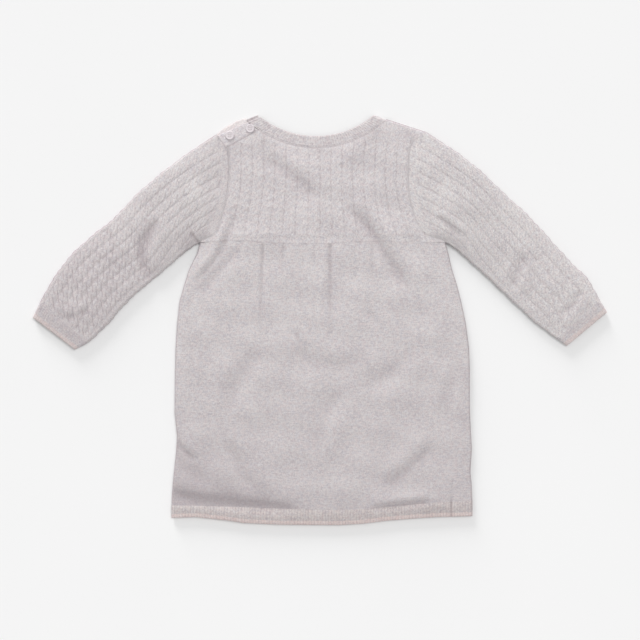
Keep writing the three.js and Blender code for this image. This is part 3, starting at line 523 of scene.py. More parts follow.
def noise_at(tree, x, y):
    """A flat noise, whose grain is about 1 wide, at the place x, y."""
    place = tree.nodes.new("ShaderNodeCombineXYZ")
    tree.links.new(x, place.inputs[0])
    tree.links.new(y, place.inputs[1])
    noise = tree.nodes.new("ShaderNodeTexNoise")
    noise.noise_dimensions = "2D"
    noise.inputs["Scale"].default_value = 1.0
    noise.inputs["Detail"].default_value = 2.0
    tree.links.new(place.outputs[0], noise.inputs["Vector"])
    return noise.outputs[0]


def blended(tree, share, a, b, kind="MIX"):
    mix = tree.nodes.new("ShaderNodeMix")
    mix.data_type = "RGBA"
    mix.blend_type = kind
    for socket, value in zip((mix.inputs[0], mix.inputs[6], mix.inputs[7]), (share, a, b)):
        if isinstance(value, (tuple, float)):
            socket.default_value = value
        else:
            tree.links.new(value, socket)
    return mix.outputs[2]


def colour(red, green, blue):
    """A colour given as it looks on screen, from 0 to 255."""
    channels = np.array([red, green, blue]) / 255
    linear = np.where(channels <= 0.04045, channels / 12.92, ((channels + 0.055) / 1.055) ** 2.4)
    return (*[float(value) for value in linear], 1.0)


# The yarn drifts a little between cooler and warmer tints
TINTS = [
    (0.36, (0.968, 0.983, 1.0, 1)),
    (0.5, (0.984, 0.989, 0.984, 1)),
    (0.64, (1.0, 0.975, 0.972, 1)),
]
STITCH_SLANT = 0.55      # how far a stitch's leg climbs from its wale's middle, in courses
STITCH_WAVE = 0.28       # how much the courses show in each leg
STITCH_LIT = {"low": 0.86, "rise": 0.16}         # painted shade between the stitch legs: how much lighter the legs are than the gaps between them
YARN_LONG, YARN_APART = 1.7, 5.3         # mottle of single courses: its length in streaks, and their spacing
PATCH_SIZE = (26.0, 19.0)
HEATHER = {"streaks": 0.40, "yarn": 0.20, "stitches": 0.24, "patches": 0.17, "shift": -0.005}
TIP_RAGGED = 0.9         # how unevenly the tipping yarn ends


def knitted(name, shades, streak, wale=1.4, course=1.1, depth=0.5, shadow=None, tip=None):
    """Knit of one heathered yarn: slanted stitch legs in wales and courses, mottled along the courses.
    streak is the size of the mottle; wale, course and depth are those of one stitch, in millimetres.
    shadow gives the colour of the painted shade and its share, and tip the width and shades of a tipped edge."""
    material, tree, shader = new_material(name)
    place = tree.nodes.new("ShaderNodeUVMap")
    place.uv_map = "cloth"
    parts = tree.nodes.new("ShaderNodeSeparateXYZ")
    tree.links.new(place.outputs[0], parts.inputs[0])
    across, along = parts.outputs[0], parts.outputs[1]

    wales = maths(tree, "DIVIDE", across, wale)
    off = maths(tree, "ABSOLUTE", maths(tree, "MULTIPLY_ADD", maths(tree, "FRACT", wales), 2.0, -1.0))
    leg = maths(tree, "MULTIPLY_ADD", off, 2.0, -1.0)
    leg = maths(tree, "SUBTRACT", 1.0, maths(tree, "MULTIPLY", leg, leg))
    courses = maths(tree, "MULTIPLY_ADD", off, -STITCH_SLANT, maths(tree, "DIVIDE", along, course))
    wave = maths(tree, "COSINE", maths(tree, "MULTIPLY", courses, 2 * np.pi))
    wave = maths(tree, "MULTIPLY_ADD", wave, STITCH_WAVE, 1 - STITCH_WAVE)
    stitch = maths(tree, "MULTIPLY", leg, wave)

    row = maths(tree, "FLOOR", courses)
    wide, high = streak
    streaks = noise_at(tree, maths(tree, "DIVIDE", across, wide), maths(tree, "DIVIDE", along, high))
    yarn_across = maths(tree, "DIVIDE", across, wide * YARN_LONG)
    yarn = noise_at(tree, yarn_across, maths(tree, "MULTIPLY", row, YARN_APART))
    cell = tree.nodes.new("ShaderNodeTexWhiteNoise")
    cell.noise_dimensions = "2D"
    corner = tree.nodes.new("ShaderNodeCombineXYZ")
    tree.links.new(maths(tree, "FLOOR", maths(tree, "MULTIPLY", wales, 2.0)), corner.inputs[0])
    tree.links.new(row, corner.inputs[1])
    tree.links.new(corner.outputs[0], cell.inputs["Vector"])
    wide, high = PATCH_SIZE
    patches = noise_at(tree, maths(tree, "DIVIDE", across, wide), maths(tree, "DIVIDE", along, high))
    heather = maths(tree, "MULTIPLY", yarn, HEATHER["yarn"])
    heather = maths(tree, "MULTIPLY_ADD", streaks, HEATHER["streaks"], heather)
    heather = maths(tree, "MULTIPLY_ADD", cell.outputs[0], HEATHER["stitches"], heather)
    heather = maths(tree, "MULTIPLY_ADD", patches, HEATHER["patches"], heather)
    heather = maths(tree, "ADD", heather, HEATHER["shift"])
    shade = tones(tree, heather, shades)
    if tip:
        edge = maths(tree, "MULTIPLY_ADD", cell.outputs[0], TIP_RAGGED, along)
        tipped = maths(tree, "LESS_THAN", edge, tip["wide"])
        shade = blended(tree, tipped, shade, tones(tree, heather, tip["shades"]))
    drift = noise_at(tree, maths(tree, "MULTIPLY_ADD", across, 0.24, 31.0), maths(tree, "DIVIDE", along, 3.1))
    shade = blended(tree, 1.0, shade, tones(tree, drift, TINTS), "MULTIPLY")
    # Painted shade in the gaps between the stitch legs, on top of their bump
    lit = maths(tree, "MULTIPLY_ADD", stitch, STITCH_LIT["rise"], STITCH_LIT["low"])
    grey = tree.nodes.new("ShaderNodeCombineColor")
    for socket in grey.inputs[:3]:
        tree.links.new(lit, socket)
    shade = blended(tree, 1.0, shade, grey.outputs[0], "MULTIPLY")
    # Painted shade: each point blends towards the shadow colour by its own share
    if shadow:
        painted_shade = tree.nodes.new("ShaderNodeAttribute")
        painted_shade.attribute_name = "painted_shade"
        share = maths(tree, "MULTIPLY", painted_shade.outputs["Fac"], shadow["share"])
        shade = blended(tree, share, shade, shadow["shade"])
    tree.links.new(shade, shader.inputs["Base Color"])

    bump = tree.nodes.new("ShaderNodeBump")
    bump.inputs["Strength"].default_value = 0.7
    bump.inputs["Distance"].default_value = depth * MM
    tree.links.new(stitch, bump.inputs["Height"])
    tree.links.new(bump.outputs[0], shader.inputs["Normal"])
    shader.inputs["Roughness"].default_value = 0.95
    shader.inputs["Specular IOR Level"].default_value = 0.15
    shader.inputs["Sheen Weight"].default_value = 0.03
    shader.inputs["Sheen Roughness"].default_value = 0.6
    return material


def heathered(red, green, blue, spread):
    """Shades of a yarn mix about one colour: its dark fibres are more lilac and its light ones more cream."""
    return [(0.34, colour(red - 1.4 * spread, green - 1.5 * spread, blue - 1.25 * spread)),
            (0.45, colour(red - 0.3 * spread, green - 0.35 * spread, blue - 0.3 * spread)),
            (0.54, colour(red + 0.25 * spread, green + 0.3 * spread, blue + 0.25 * spread)),
            (0.66, colour(red + 1.1 * spread, green + 1.2 * spread, blue + 1.1 * spread))]


# Shadow colour of the cabled knit and its share: painted shade in the grooves, the fold hollows, the sunk
# seams and along the edges
PAINTED_GUTTER_SHADE = {"share": 0.52, "shade": colour(168, 154, 159)}
cable_yarn = knitted("cable_yarn", heathered(230, 223, 224, 13), streak=(1.6, 1.8), shadow=PAINTED_GUTTER_SHADE)

YOKE_TWIST = 0.22        # how clearly the crossings show
FAN_FROM, FAN_OVER = 138, 58             # the height at which the cables begin to fan out, and over how much
SKIRT_LEVEL = 80         # where the cables' places along the skirt are taken
LEAST_MARGIN = 1.8       # between the outer cables and the armholes
PLAIN_SHARE = 0.5        # height of the plain knit, as a share of the cables'
SHOULDER_PLAIN = {"beyond": 62, "below": 182, "fade": 8}     # plain knit at the shoulder tips
FOOT_PLAIN = {"from": 82, "fade": 4}     # and in the first courses above the skirt
TOP_PLAIN = 0.04         # and below the neckband and the shoulders, as a share of the yoke's length
ARMHOLE_SINK = {"left": 0.16, "right": 0.09}
SEAM_PAINTED_SHADE = {"low": 0.7, "high": 0.9}    # painted shade along the linked edges
YOKE_SEAM_ENDS, YOKE_SEAM_FADE = 78, 30  # the lower one's painted shade is lost towards the right
NECK_PAINTED_SHADE = 0.16        # painted shade on the yoke right below the neckband
NECK_SHADE_REACH = 12
HIDDEN_PAINTED_SHADE = 0.3        # painted shade on the hidden faces
PULL_PAINTED_SHADE = 3.0          # painted shade in the armhole seams, for each millimetre that they sink in
PLAIN_FROM, PLAIN_OVER = 78, 8           # the plain knit gets flat where it meets the skirt
DEEPEST_SINK = {"from": 112, "in": 12, "to": 172, "out": 14, "least": 0.06}
YOKE_ROWS = 200
STEPS_A_CABLE = 18
MARGIN_STEPS = 20


def yoke_x(gutter, y):
    """Where the grooves between the cables run, counted from the middle of the back."""
    widest = CABLES / 2 * CABLE_PITCH * lerp(1, YOKE_FAN, limited((FAN_FROM - y) / FAN_OVER))
    room_left = np.abs(armhole_x("left", y)) - LEAST_MARGIN
    room_right = np.abs(armhole_x("right", y)) - LEAST_MARGIN
    return gutter / (CABLES / 2) * np.minimum(widest, np.where(gutter < 0, room_left, room_right))


def yoke_ceiling(x):
    """The back yoke's upper edge: the shoulder band, the neckline and the right shoulder."""
    neckline = neck_y(BACK_NECK, x, NECKBAND + SEAM)
    shoulder = np.where(x > NECK_X, line_y(SHOULDER_RIGHT, x), np.inf)
    return np.where(x < BAND_FOOT[0][0], line_y(BAND_FOOT, x) - SEAM, np.minimum(shoulder, neckline))


def shoulder_inset(x, y):
    """How far a point is from the folded right shoulder."""
    beyond_band = x > SHOULDER_RIGHT[0][0] + NECKBAND
    return np.where(beyond_band, np.maximum(line_y(SHOULDER_RIGHT, x) - y, 0), ROLL)


def inside_fold(face):
    """Moves an inner face in from the folded shoulder by the cloth's own thickness."""
    x, y = face[..., 0], face[..., 1]
    face[..., 1] = np.where(shoulder_inset(x, y) < WALL, line_y(SHOULDER_RIGHT, x) - WALL, y)
    return face


def between(a, b, count):
    """Columns of points from a to b, without b."""
    shares = np.linspace(0, 1, count + 1)[:-1]
    return a[:, None] + (b - a)[:, None] * shares[None, :, None]


def plain_level(y):
    """Height of the plain margins, as a share of the cables'; it runs out at the skirt."""
    return PLAIN_SHARE * limited((y - PLAIN_FROM) / PLAIN_OVER)


def armhole_pull(y):
    """The armhole seam sinks in most beside the shoulder blades."""
    begun = limited((y - DEEPEST_SINK["from"]) / DEEPEST_SINK["in"])
    left = limited((DEEPEST_SINK["to"] - y) / DEEPEST_SINK["out"])
    return lerp(DEEPEST_SINK["least"], 1, begun * left)


def back_yoke():
    shares = np.linspace(0, 1, YOKE_ROWS)
    gutters = np.linspace(-CABLES / 2, CABLES / 2, CABLES * STEPS_A_CABLE + 1)
    ends_x = yoke_x(gutters, SHOULDER_RIGHT[1][1])
    foot_x = yoke_x(gutters, SKIRT_LEVEL)
    y = lerp(yoke_y(foot_x) + SEAM / 2, yoke_ceiling(ends_x), shares[:, None])
    cables = np.stack([yoke_x(gutters[None], y), y], -1)
    left = armhole("left", shares * armhole_reach("left", BAND_FOOT), -SEAM / 2)
    right = armhole("right", shares, -SEAM / 2)
    flat = np.concatenate([
        between(left, cables[:, 0], MARGIN_STEPS),
        cables,
        between(right, cables[:, -1], MARGIN_STEPS)[:, ::-1],
    ], axis=1)
    x, y = flat[..., 0], flat[..., 1]
    beyond = CABLES / 2 + np.linspace(0.02, 1, MARGIN_STEPS)
    gutter = np.concatenate([-beyond[::-1], gutters, beyond])[None] + 0 * x
    cabled = np.abs(gutter) < CABLES / 2
    below_tip = limited((SHOULDER_PLAIN["below"] - y) / SHOULDER_PLAIN["fade"])
    cabled = cabled * np.where(np.abs(x) > SHOULDER_PLAIN["beyond"], below_tip, 1)
    cabled = cabled * limited((y - FOOT_PLAIN["from"]) / FOOT_PLAIN["fade"])
    cabled = cabled * limited((1 - shares[:, None]) / TOP_PLAIN)
    height, groove = (layer * cabled for layer in cable(gutter + CABLES / 2, y, YOKE_TWIST))
    height = height + (1 - cabled) * plain_level(y)
    inset = shoulder_inset(x, y)
    wobble = 0.7 + 0.3 * np.sin(x / 6.1) * np.sin(x / 15.3)
    # Painted shade along the seams with the skirt and the neckband
    linked = dip(flat, ["low"], SEAM_PAINTED_SHADE["low"]) * limited((YOKE_SEAM_ENDS - x) / YOKE_SEAM_FADE) * wobble
    linked = linked + dip(flat, ["high"], SEAM_PAINTED_SHADE["high"])
    pulled = armhole_pull(y) * sum(dip(flat, [side], sink) for side, sink in ARMHOLE_SINK.items())
    base = body_top(x, y) - pulled
    top = folded_over(BACK_EDGE, base + CABLE_RISE * height, inset)
    painted_neck_shade = NECK_PAINTED_SHADE * np.exp(-np.maximum(yoke_ceiling(x) - y, 0) / NECK_SHADE_REACH)
    # All of it painted shade: in the grooves, along the seams, in the sunk armhole seams and fold hollows,
    # along the folded shoulder and below the neckband
    painted_shade = np.maximum(groove, linked + PULL_PAINTED_SHADE * pulled) + painted_fold_shade(x, y) + painted_rim_shade(inset) + painted_neck_shade
    over = grid(x, y, top, gutter * CABLE_PITCH, y, painted_shade)
    rows, columns = thinned(over.shape[0], 5), thinned(over.shape[1], 6)
    under = grid(x, y, np.maximum(base - WALL, BACK_EDGE), gutter * CABLE_PITCH, y, HIDDEN_PAINTED_SHADE)
    return over, inside_fold(under[rows][:, columns])


yoke_over, yoke_under = back_yoke()
back_yoke_cloth = panel("back_yoke_cloth", yoke_over, yoke_under, cable_yarn)
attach(back_yoke_cloth, "root")
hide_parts("back_yoke")

# Front yoke. The upper front, under the back one, cabled in the same way, with a lower neckline.
# It is linked to the same sleeves, skirt and neckband, and its cables are pressed against the board.
FRONT_YOKE_Y = 77.4
STAND_FOOT = ((-71.2, 190.1), (-95.8, 174.6))    # lower edge of the button stand, from the neck outwards
STAND_FROM = 0.058       # where the front neckline leaves the stand
STAND_RUN = (-92, -74)   # where the columns end under the stand,
SHOULDER_RUN = (74, 97)  # and at the right shoulder
FRONT_FOOT = (-120, 125)
FRONT_MARGIN = 39        # room that all the columns together keep beside an armhole
FRONT_TOP_PLAIN = 0.05
PRESSED_RISE = 0.6       # of cables that are pressed against the board


def front_yoke():
    shares = np.linspace(0, 1, 120)
    stand_x = np.linspace(*STAND_RUN, 16)
    arc_x, arc_y = neck_point(FRONT_NECK, NECKBAND + SEAM, np.linspace(STAND_FROM, 1, 150))
    shoulder_x = np.linspace(*SHOULDER_RUN, 20)
    end_x = np.concatenate([stand_x, arc_x, shoulder_x])
    end_y = np.concatenate([line_y(STAND_FOOT, stand_x) - SEAM, arc_y, line_y(SHOULDER_RIGHT, shoulder_x)])
    order = np.arange(1, len(end_x) + 1)
    foot_x = lerp(*FRONT_FOOT, order / (len(order) + 1))
    y = lerp(FRONT_YOKE_Y + SEAM / 2, end_y, shares[:, None])
    narrow = FRONT_MARGIN / len(order)
    low = armhole_x("left", y) + narrow * order
    high = armhole_x("right", y) - narrow * order[::-1]
    x = np.where(shares[:, None] == 1, end_x, np.clip(lerp(foot_x, end_x, shares[:, None]), low, high))
    left = armhole("left", shares * armhole_reach("left", STAND_FOOT), -SEAM / 2)[:, None]
    right = armhole("right", shares, -SEAM / 2)[:, None]
    flat = np.concatenate([left, np.stack([x, y], -1), right], axis=1)
    x, y = flat[..., 0], flat[..., 1]
    cabled = limited((CABLES / 2 - 0.02 - np.abs(x) / CABLE_PITCH) * 20)
    cabled = cabled * limited((y - FOOT_PLAIN["from"]) / FOOT_PLAIN["fade"])
    cabled = cabled * limited((1 - shares[:, None]) / FRONT_TOP_PLAIN)
    height, groove = (layer * cabled for layer in cable(x / CABLE_PITCH + CABLES / 2, y, YOKE_TWIST))
    inset = shoulder_inset(x, y)
    outer = folded_over(FRONT_EDGE, PRESSED_RISE * (1 - height), inset)
    face = grid(x, y, outer, x, y, groove)
    rows, columns = thinned(face.shape[0], 4), thinned(face.shape[1], 4)
    inner = grid(x, y, np.where(inset < WALL, FRONT_EDGE, WALL), x, y, HIDDEN_PAINTED_SHADE)
    return inside_fold(inner[rows][:, columns]), face


front_over, front_under = front_yoke()
front_yoke_cloth = panel("front_yoke_cloth", front_over, front_under, cable_yarn)
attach(front_yoke_cloth, "root")
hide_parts("front_yoke")

# Skirt. Two panels of plain jersey in the same yarn, gathered a little into the yoke seam with small tucks
# and linked at the sides, where they fold over. The heather runs in streaks along the courses.
TUCKS = [
    {"x": -57, "length": 105, "deep": 1.4},
    {"x": -37, "length": 30, "deep": 0.9},
    {"x": 10, "length": 104, "deep": 1.5},
    {"x": 52, "length": 44, "deep": 0.8},
]
TUCK_HALF = 1.875
TUCK_RISE = 0.8          # how much of a tuck's depth is a real hollow
TUCK_PAINTED_SHADE = 0.5          # painted shade in a tuck, for each millimetre of its depth
TUCK_SPREAD = 0.25       # how far the tucks follow the skirt's flare
TUCK_BEGINS = 4          # over what length below the seam a tuck gets its full depth
TUCK_RUN_OUT = 0.7       # power of its slow end
GATHER_RISE = 0.22       # of the ripples that the gathers leave under the yoke seam
GATHER_PITCH, GATHER_REACH = 15, 55
# The right side seam lies a little way onto the back, and shows near the hem as a groove with painted shade
# in it
SIDE_SEAM = {"x": 131, "wide": 1.0, "deep": 0.5, "from": -150, "fade": 40}
SKIRT_TOP, SKIRT_LOW = 77, -188
# painted shade along the seam with the hem
SKIRT_SEAM_PAINTED_SHADE = 0.35
HEM_SEAM_ENDS, HEM_SEAM_FADE = 88, 40    # the painted shade along the seam with the hem is lost towards the right
LOWER_PAINTED_SHADE = 0.26       # painted shade that darkens the skirt a little towards the hem
LOWER_FROM, LOWER_OVER = 50, 200
# Painted shade along the foot: in the left corner, along the whole hem, and once more right of the middle
CORNER_PAINTED_SHADE = {"share": 0.95, "from": -165, "rise": 12, "to": -8, "fade": 50}
CORNER_REACH = {"left": 34, "right": 15, "from": -146, "over": 80}
FOOT_PAINTED_SHADE = {"share": 0.18, "more": 0.25, "middle": 88, "half": 22, "reach": 5}
LINING_GAP = 0.3         # least air between the skirt's two linings
FRONT_RIB = ((-150, -185.4), (154, -181.5))
FRONT_FOLDS = [
    {"path": [(-70, 40), (-50, -6), (-20, -60)], "wide": 9, "deep": 0.7, "bank": 0},
    {"path": [(60, 20), (78, -30), (104, -90)], "wide": 10, "deep": 0.8, "bank": 0},
    {"path": [(-110, -90), (-90, -128), (-60, -160)], "wide": 9, "deep": 0.7, "bank": 0},
    {"path": [(10, -70), (18, -120), (34, -170)], "wide": 8, "deep": 0.6, "bank": 0},
]
# Shadow colour of the plain knit and its share: painted shade in the tucks, seams, fold hollows and along the
# edges
PAINTED_CREASE_SHADE = {"share": 0.5, "shade": colour(158, 145, 150)}
jersey = knitted("jersey", heathered(226, 219, 220, 12.5), streak=(4.2, 1.2), shadow=PAINTED_CREASE_SHADE)


def edge_shares(count, crowd=0.5):
    """Shares from 0 to 1 that lie closer together at both ends."""
    even = np.linspace(0, 1, count)
    return even - crowd * np.sin(2 * np.pi * even) / (2 * np.pi)


def skirt_columns(y, count, turn):
    """x from side to side, and the distance from the nearer side."""
    shares = edge_shares(count, 0.55)
    left, right = side_x("left", y), side_x("right", y)
    x = lerp(left[:, None], right[:, None], shares[None])
    if turn:
        x = np.clip(x, left[:, None] + turn, right[:, None] - turn)
    return x, np.minimum(x - left[:, None], right[:, None] - x)


def tuck_depth(x, y):
    top_width = side_x("right", SKIRT_TOP) - side_x("left", SKIRT_TOP)
    grow = (side_x("right", y) - side_x("left", y)) / top_width
    depth = 0 * x
    for tuck in TUCKS:
        fade = limited(1 - (SKIRT_TOP - y) / tuck["length"]) ** TUCK_RUN_OUT
        line = tuck["x"] * lerp(1, grow, TUCK_SPREAD)
        depth = depth + tuck["deep"] * fade * bell(x - line, TUCK_HALF)
    return depth * limited((SKIRT_TOP - y) / TUCK_BEGINS)


def skirt_face(rows, count, turn, rib_line, top_line):
    """x, y, distance from the nearer side, and level on the cloth, between the two lines."""
    shares = np.linspace(0, 1, rows)
    level = lerp(SKIRT_TOP, SKIRT_LOW, shares)
    x, inset = skirt_columns(level, count, turn)
    y = lerp(top_line(x) - SEAM / 2, rib_line(x) + SEAM / 2, shares[:, None])
    return x, y, inset, level[:, None] + 0 * x


def side_notch(x):
    return bell(x - SIDE_SEAM["x"], SIDE_SEAM["wide"])


def painted_foot_shade(x, y):
    """Painted shade just above the hem's rib, where the skirt sinks in, most of all in its left corner."""
    above = np.maximum(y - hem_y(x, "rib"), 0)
    corner = limited((x - CORNER_PAINTED_SHADE["from"]) / CORNER_PAINTED_SHADE["rise"])
    corner = CORNER_PAINTED_SHADE["share"] * corner * limited((CORNER_PAINTED_SHADE["to"] - x) / CORNER_PAINTED_SHADE["fade"])
    along = limited((x - CORNER_REACH["from"]) / CORNER_REACH["over"])
    reach = lerp(CORNER_REACH["left"], CORNER_REACH["right"], along)
    whole = FOOT_PAINTED_SHADE["share"] + FOOT_PAINTED_SHADE["more"] * bell(x - FOOT_PAINTED_SHADE["middle"], FOOT_PAINTED_SHADE["half"])
    return corner * np.exp(-above / reach) + whole * np.exp(-above / FOOT_PAINTED_SHADE["reach"])


def back_skirt(rows, count, turn):
    x, y, inset, level = skirt_face(rows, count, turn, lambda at: hem_y(at, "rib"), yoke_y)
    ripples = np.sin(2 * np.pi * x / GATHER_PITCH + 1.5 * np.sin(x / 23))
    gathers = GATHER_RISE * np.exp(-(SKIRT_TOP - y) / GATHER_REACH) * ripples
    tucks = tuck_depth(x, y)
    uneven = 0.6 + 0.4 * np.sin(x / 4.1) * np.sin(x / 9.7)
    seam = dip(np.stack([x, y], -1), ["low"], SKIRT_SEAM_PAINTED_SHADE) * uneven
    seam = seam * limited((HEM_SEAM_ENDS - x) / HEM_SEAM_FADE)
    side = SIDE_SEAM["deep"] * side_notch(x) * limited((SIDE_SEAM["from"] - y) / SIDE_SEAM["fade"])
    top = body_top(x, y) - TUCK_RISE * tucks + gathers * builds(inset) - side
    # Painted shade: darker towards the hem and just above its rib, in the seam, tucks, side seam and fold
    # hollows, and along the folded sides
    lower = LOWER_PAINTED_SHADE * limited((LOWER_FROM - y) / LOWER_OVER) + painted_foot_shade(x, y)
    painted_shade = limited(seam + TUCK_PAINTED_SHADE * tucks + side + painted_fold_shade(x, y) + lower + painted_rim_shade(inset))
    return grid(x, y, folded_over(BACK_EDGE, top, inset), x, level, painted_shade)


skirt_over = back_skirt(220, 250, 0)
skirt_under = back_skirt(60, 70, WALL)
skirt_under[..., 2] = np.maximum(skirt_under[..., 2] - WALL, WALL + LINING_GAP)
back_skirt_cloth = panel("back_skirt_cloth", skirt_over, skirt_under, jersey)
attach(back_skirt_cloth, "root")
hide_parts("back_skirt")


def front_skirt(rows, count, turn, inner):
    foot, top = (lambda at: line_y(FRONT_RIB, at)), (lambda at: FRONT_YOKE_Y)
    x, y, inset, level = skirt_face(rows, count, turn, foot, top)
    z = WALL if inner else folded_over(FRONT_EDGE, -fold_rise(x, y, FRONT_FOLDS), inset)
    return grid(x, y, z, x, level, HIDDEN_PAINTED_SHADE)


front_skirt_face = front_skirt(110, 130, 0, False)
front_skirt_cloth = panel("front_skirt_cloth", front_skirt(50, 60, WALL, True), front_skirt_face, jersey)
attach(front_skirt_cloth, "root")
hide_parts("front_skirt")

# Hem bands. One-by-one rib, linked to the skirt's lower edge and bound off in the pink tipping yarn.
# The back one shows the right side seam as a short notch, with painted shade in it.
RIB_PITCH = 2.8
RIB_RISE = 0.35
RIB_ROUND = 0.8          # less than 1 makes the ribs' backs broader than the grooves
# painted shade in the grooves between the ribs, for each band
GROOVE_PAINTED_SHADE = {"hem": 0.5, "front_hem": 0.55, "neck": 0.35, "front_neck": 0.5, "stand": 0.15, "cuff": 0.25}
STEPS_A_RIB = 8
RIB_BEGINS = 2.2         # over how much of the linked edge the ribs begin
EDGE_ROUND = 1.1         # over how much of the bound-off edge the cloth rounds off
EDGE_PRESSED = 0.8       # how much flatter the band lies at its bound-off edge
PRESSED_REACH = 12
EDGE_DROP = 0.8          # how far the rounded edge turns down
NOTCH_DEEP = 0.8
TIP_WIDE = 4.6
PINK_MIX = heathered(238, 222, 219, 9)
RIB_SHADOW = {"share": 0.4, "shade": colour(160, 146, 150)}
hem_rib = knitted("hem_rib", heathered(214, 205, 204, 12), streak=(2.0, 1.8), wale=RIB_PITCH,
                  shadow=RIB_SHADOW, tip={"wide": TIP_WIDE, "shades": PINK_MIX})
HEM_LEVEL = -192         # where the hem's width is taken


def rib(across):
    """Height, from 0 to 1, of one-by-one rib; across counts the ribs."""
    return (0.5 - 0.5 * np.cos(2 * np.pi * across)) ** RIB_ROUND


def hem_rows(count):
    """Shares from the linked edge to the bound-off one, where the rows lie closer together."""
    even = np.linspace(0, 1, count)
    return even + 0.3 * np.sin(np.pi * even) / np.pi


def hem_columns(turn, count):
    left, right = side_x("left", HEM_LEVEL), side_x("right", HEM_LEVEL)
    x = np.linspace(left + turn, right - turn, count)
    return x, np.minimum(x - left, right - x)


def hem_back(rows, count, turn):
    x, inset = hem_columns(turn, count)
    start, edge = hem_y(x, "rib") - SEAM / 2, hem_y(x)
    y = lerp(start, edge, hem_rows(rows)[:, None])
    from_edge = y - edge
    notch = side_notch(x) + 0 * y
    ridges = rib(x / RIB_PITCH) * (1 - notch)
    begun = limited((start - y) / RIB_BEGINS)
    rounded = 1 - roll_rise(from_edge, EDGE_ROUND)
    pressed = EDGE_PRESSED * (1 - limited(from_edge / PRESSED_REACH)) ** 2
    raised = RIB_RISE * ridges * begun * (1 - 0.4 * rounded)
    top = body_top(x, y) + raised - EDGE_DROP * rounded - pressed - NOTCH_DEEP * notch
    # Painted shade in the rib grooves, in the side seam's notch and along the folded sides
    painted_shade = limited((1 - ridges) * GROOVE_PAINTED_SHADE["hem"] + notch + painted_rim_shade(inset))
    return grid(x, y, folded_over(BACK_EDGE, top, inset), x, from_edge, painted_shade)


hem_ribs = int(np.ptp(hem_columns(0, 2)[0]) / RIB_PITCH)
hem_over = hem_back(16, hem_ribs * STEPS_A_RIB + 1, 0)
hem_under = hem_back(6, hem_ribs + 1, WALL)
hem_under[..., 2] = UPPER - WALL
back_hem = panel("back_hem", hem_over, hem_under, hem_rib)
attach(back_hem, "root")
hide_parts("hem_back")


def hem_front(rows, count, turn, inner):
    x, inset = hem_columns(turn, count)
    start, edge = line_y(FRONT_RIB, x) - SEAM / 2, hem_y(x)
    y = lerp(start, edge, hem_rows(rows)[:, None])
    ridges = rib(x / RIB_PITCH) + 0 * y
    z = WALL if inner else folded_over(FRONT_EDGE, RIB_RISE * (1 - ridges), inset)
    return grid(x, y, z, x, y - edge, (1 - ridges) * GROOVE_PAINTED_SHADE["front_hem"])


hem_front_face = hem_front(10, hem_ribs * 6 + 1, 0, False)
front_hem = panel("front_hem", hem_front(4, hem_ribs + 1, WALL, True), hem_front_face, hem_rib)
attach(front_hem, "root")
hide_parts("hem_front")

# Neckband. One-by-one rib in a slightly pinker mix, picked up round the neckline and bound off.
# Back and front meet at the right neck point; at the left one the shoulder opening parts them.
NECK_RIB_PITCH = 2.4
OPENING_SHORT = 0.035    # radians by which the back's band stops short at the opening
NECK_MIX = heathered(218, 211, 212, 12)
NECK_RIB_RISE = 0.22
NECK_THICKER = 0.1       # how much thicker than plain cloth the rib is
ROUND_PAINTED_SHADE = 0.7         # painted shade along a rounded edge
neck_rib = knitted("neck_rib", NECK_MIX, streak=(2.4, 3.4), wale=NECK_RIB_PITCH, shadow=RIB_SHADOW,
                   tip={"wide": 1.6, "shades": heathered(221, 213, 213, 10)})


def neckband(neck, rows, columns, short):
    """x, y, depth below the bound-off edge, length from the left end, and length from the right one."""
    shares = np.linspace(0, 1, columns)
    depth = np.linspace(0, 1, rows)[:, None] ** 1.2 * NECKBAND
    x, y = neck_point(neck, depth, shares[None], short)
    length = 2 * (neck_radius(neck) + NECKBAND / 2) * np.arcsin(NECK_HALF / neck_radius(neck))
    return x, y, depth + 0 * x, length * shares[None] + 0 * x, length * (1 - shares[None]) + 0 * x


def neckband_back(rows, columns):
    x, y, depth, along, inset = neckband(BACK_NECK, rows, columns, OPENING_SHORT)
    ridges = rib(along / NECK_RIB_PITCH)
    rounded = 1 - roll_rise(depth, EDGE_ROUND)
    raised = NECK_RIB_RISE * (ridges - 0.5) * limited((NECKBAND - depth) / RIB_BEGINS)
    top = body_top(x, y) + CABLE_RISE * PLAIN_SHARE + raised - EDGE_DROP * rounded
    painted_shade = (1 - ridges) * GROOVE_PAINTED_SHADE["neck"] + ROUND_PAINTED_SHADE * rounded
    return grid(x, y, folded_over(BACK_EDGE, top, inset), along, depth, painted_shade)


neck_over = neckband_back(18, 50 * STEPS_A_RIB + 1)
neck_under = neckband_back(5, 61)
neck_lining = body_top(neck_under[..., 0], neck_under[..., 1]) - WALL - NECK_THICKER
neck_under[..., 2] = np.maximum(neck_lining, BACK_EDGE)
neck_under[:, -1, 2] = BACK_EDGE
back_neckband = panel("back_neckband", neck_over, neck_under, neck_rib)
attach(back_neckband, "root")
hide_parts("neckband_back")


def neckband_front(rows, columns, inner):
    x, y, depth, along, inset = neckband(FRONT_NECK, rows, columns, 0.0)
    ridges = rib(along / NECK_RIB_PITCH)
    low = folded_over(FRONT_EDGE, RIB_RISE * (1 - ridges), inset)
    z = np.where(inset < WALL, FRONT_EDGE, WALL) if inner else low
    return grid(x, y, z, along, depth, (1 - ridges) * GROOVE_PAINTED_SHADE["front_neck"])


neck_front_face = neckband_front(10, 80 * 6 + 1, False)
front_neckband = panel("front_neckband", neckband_front(4, 81, True), neck_front_face, neck_rib)
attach(front_neckband, "root")
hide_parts("neckband_front")


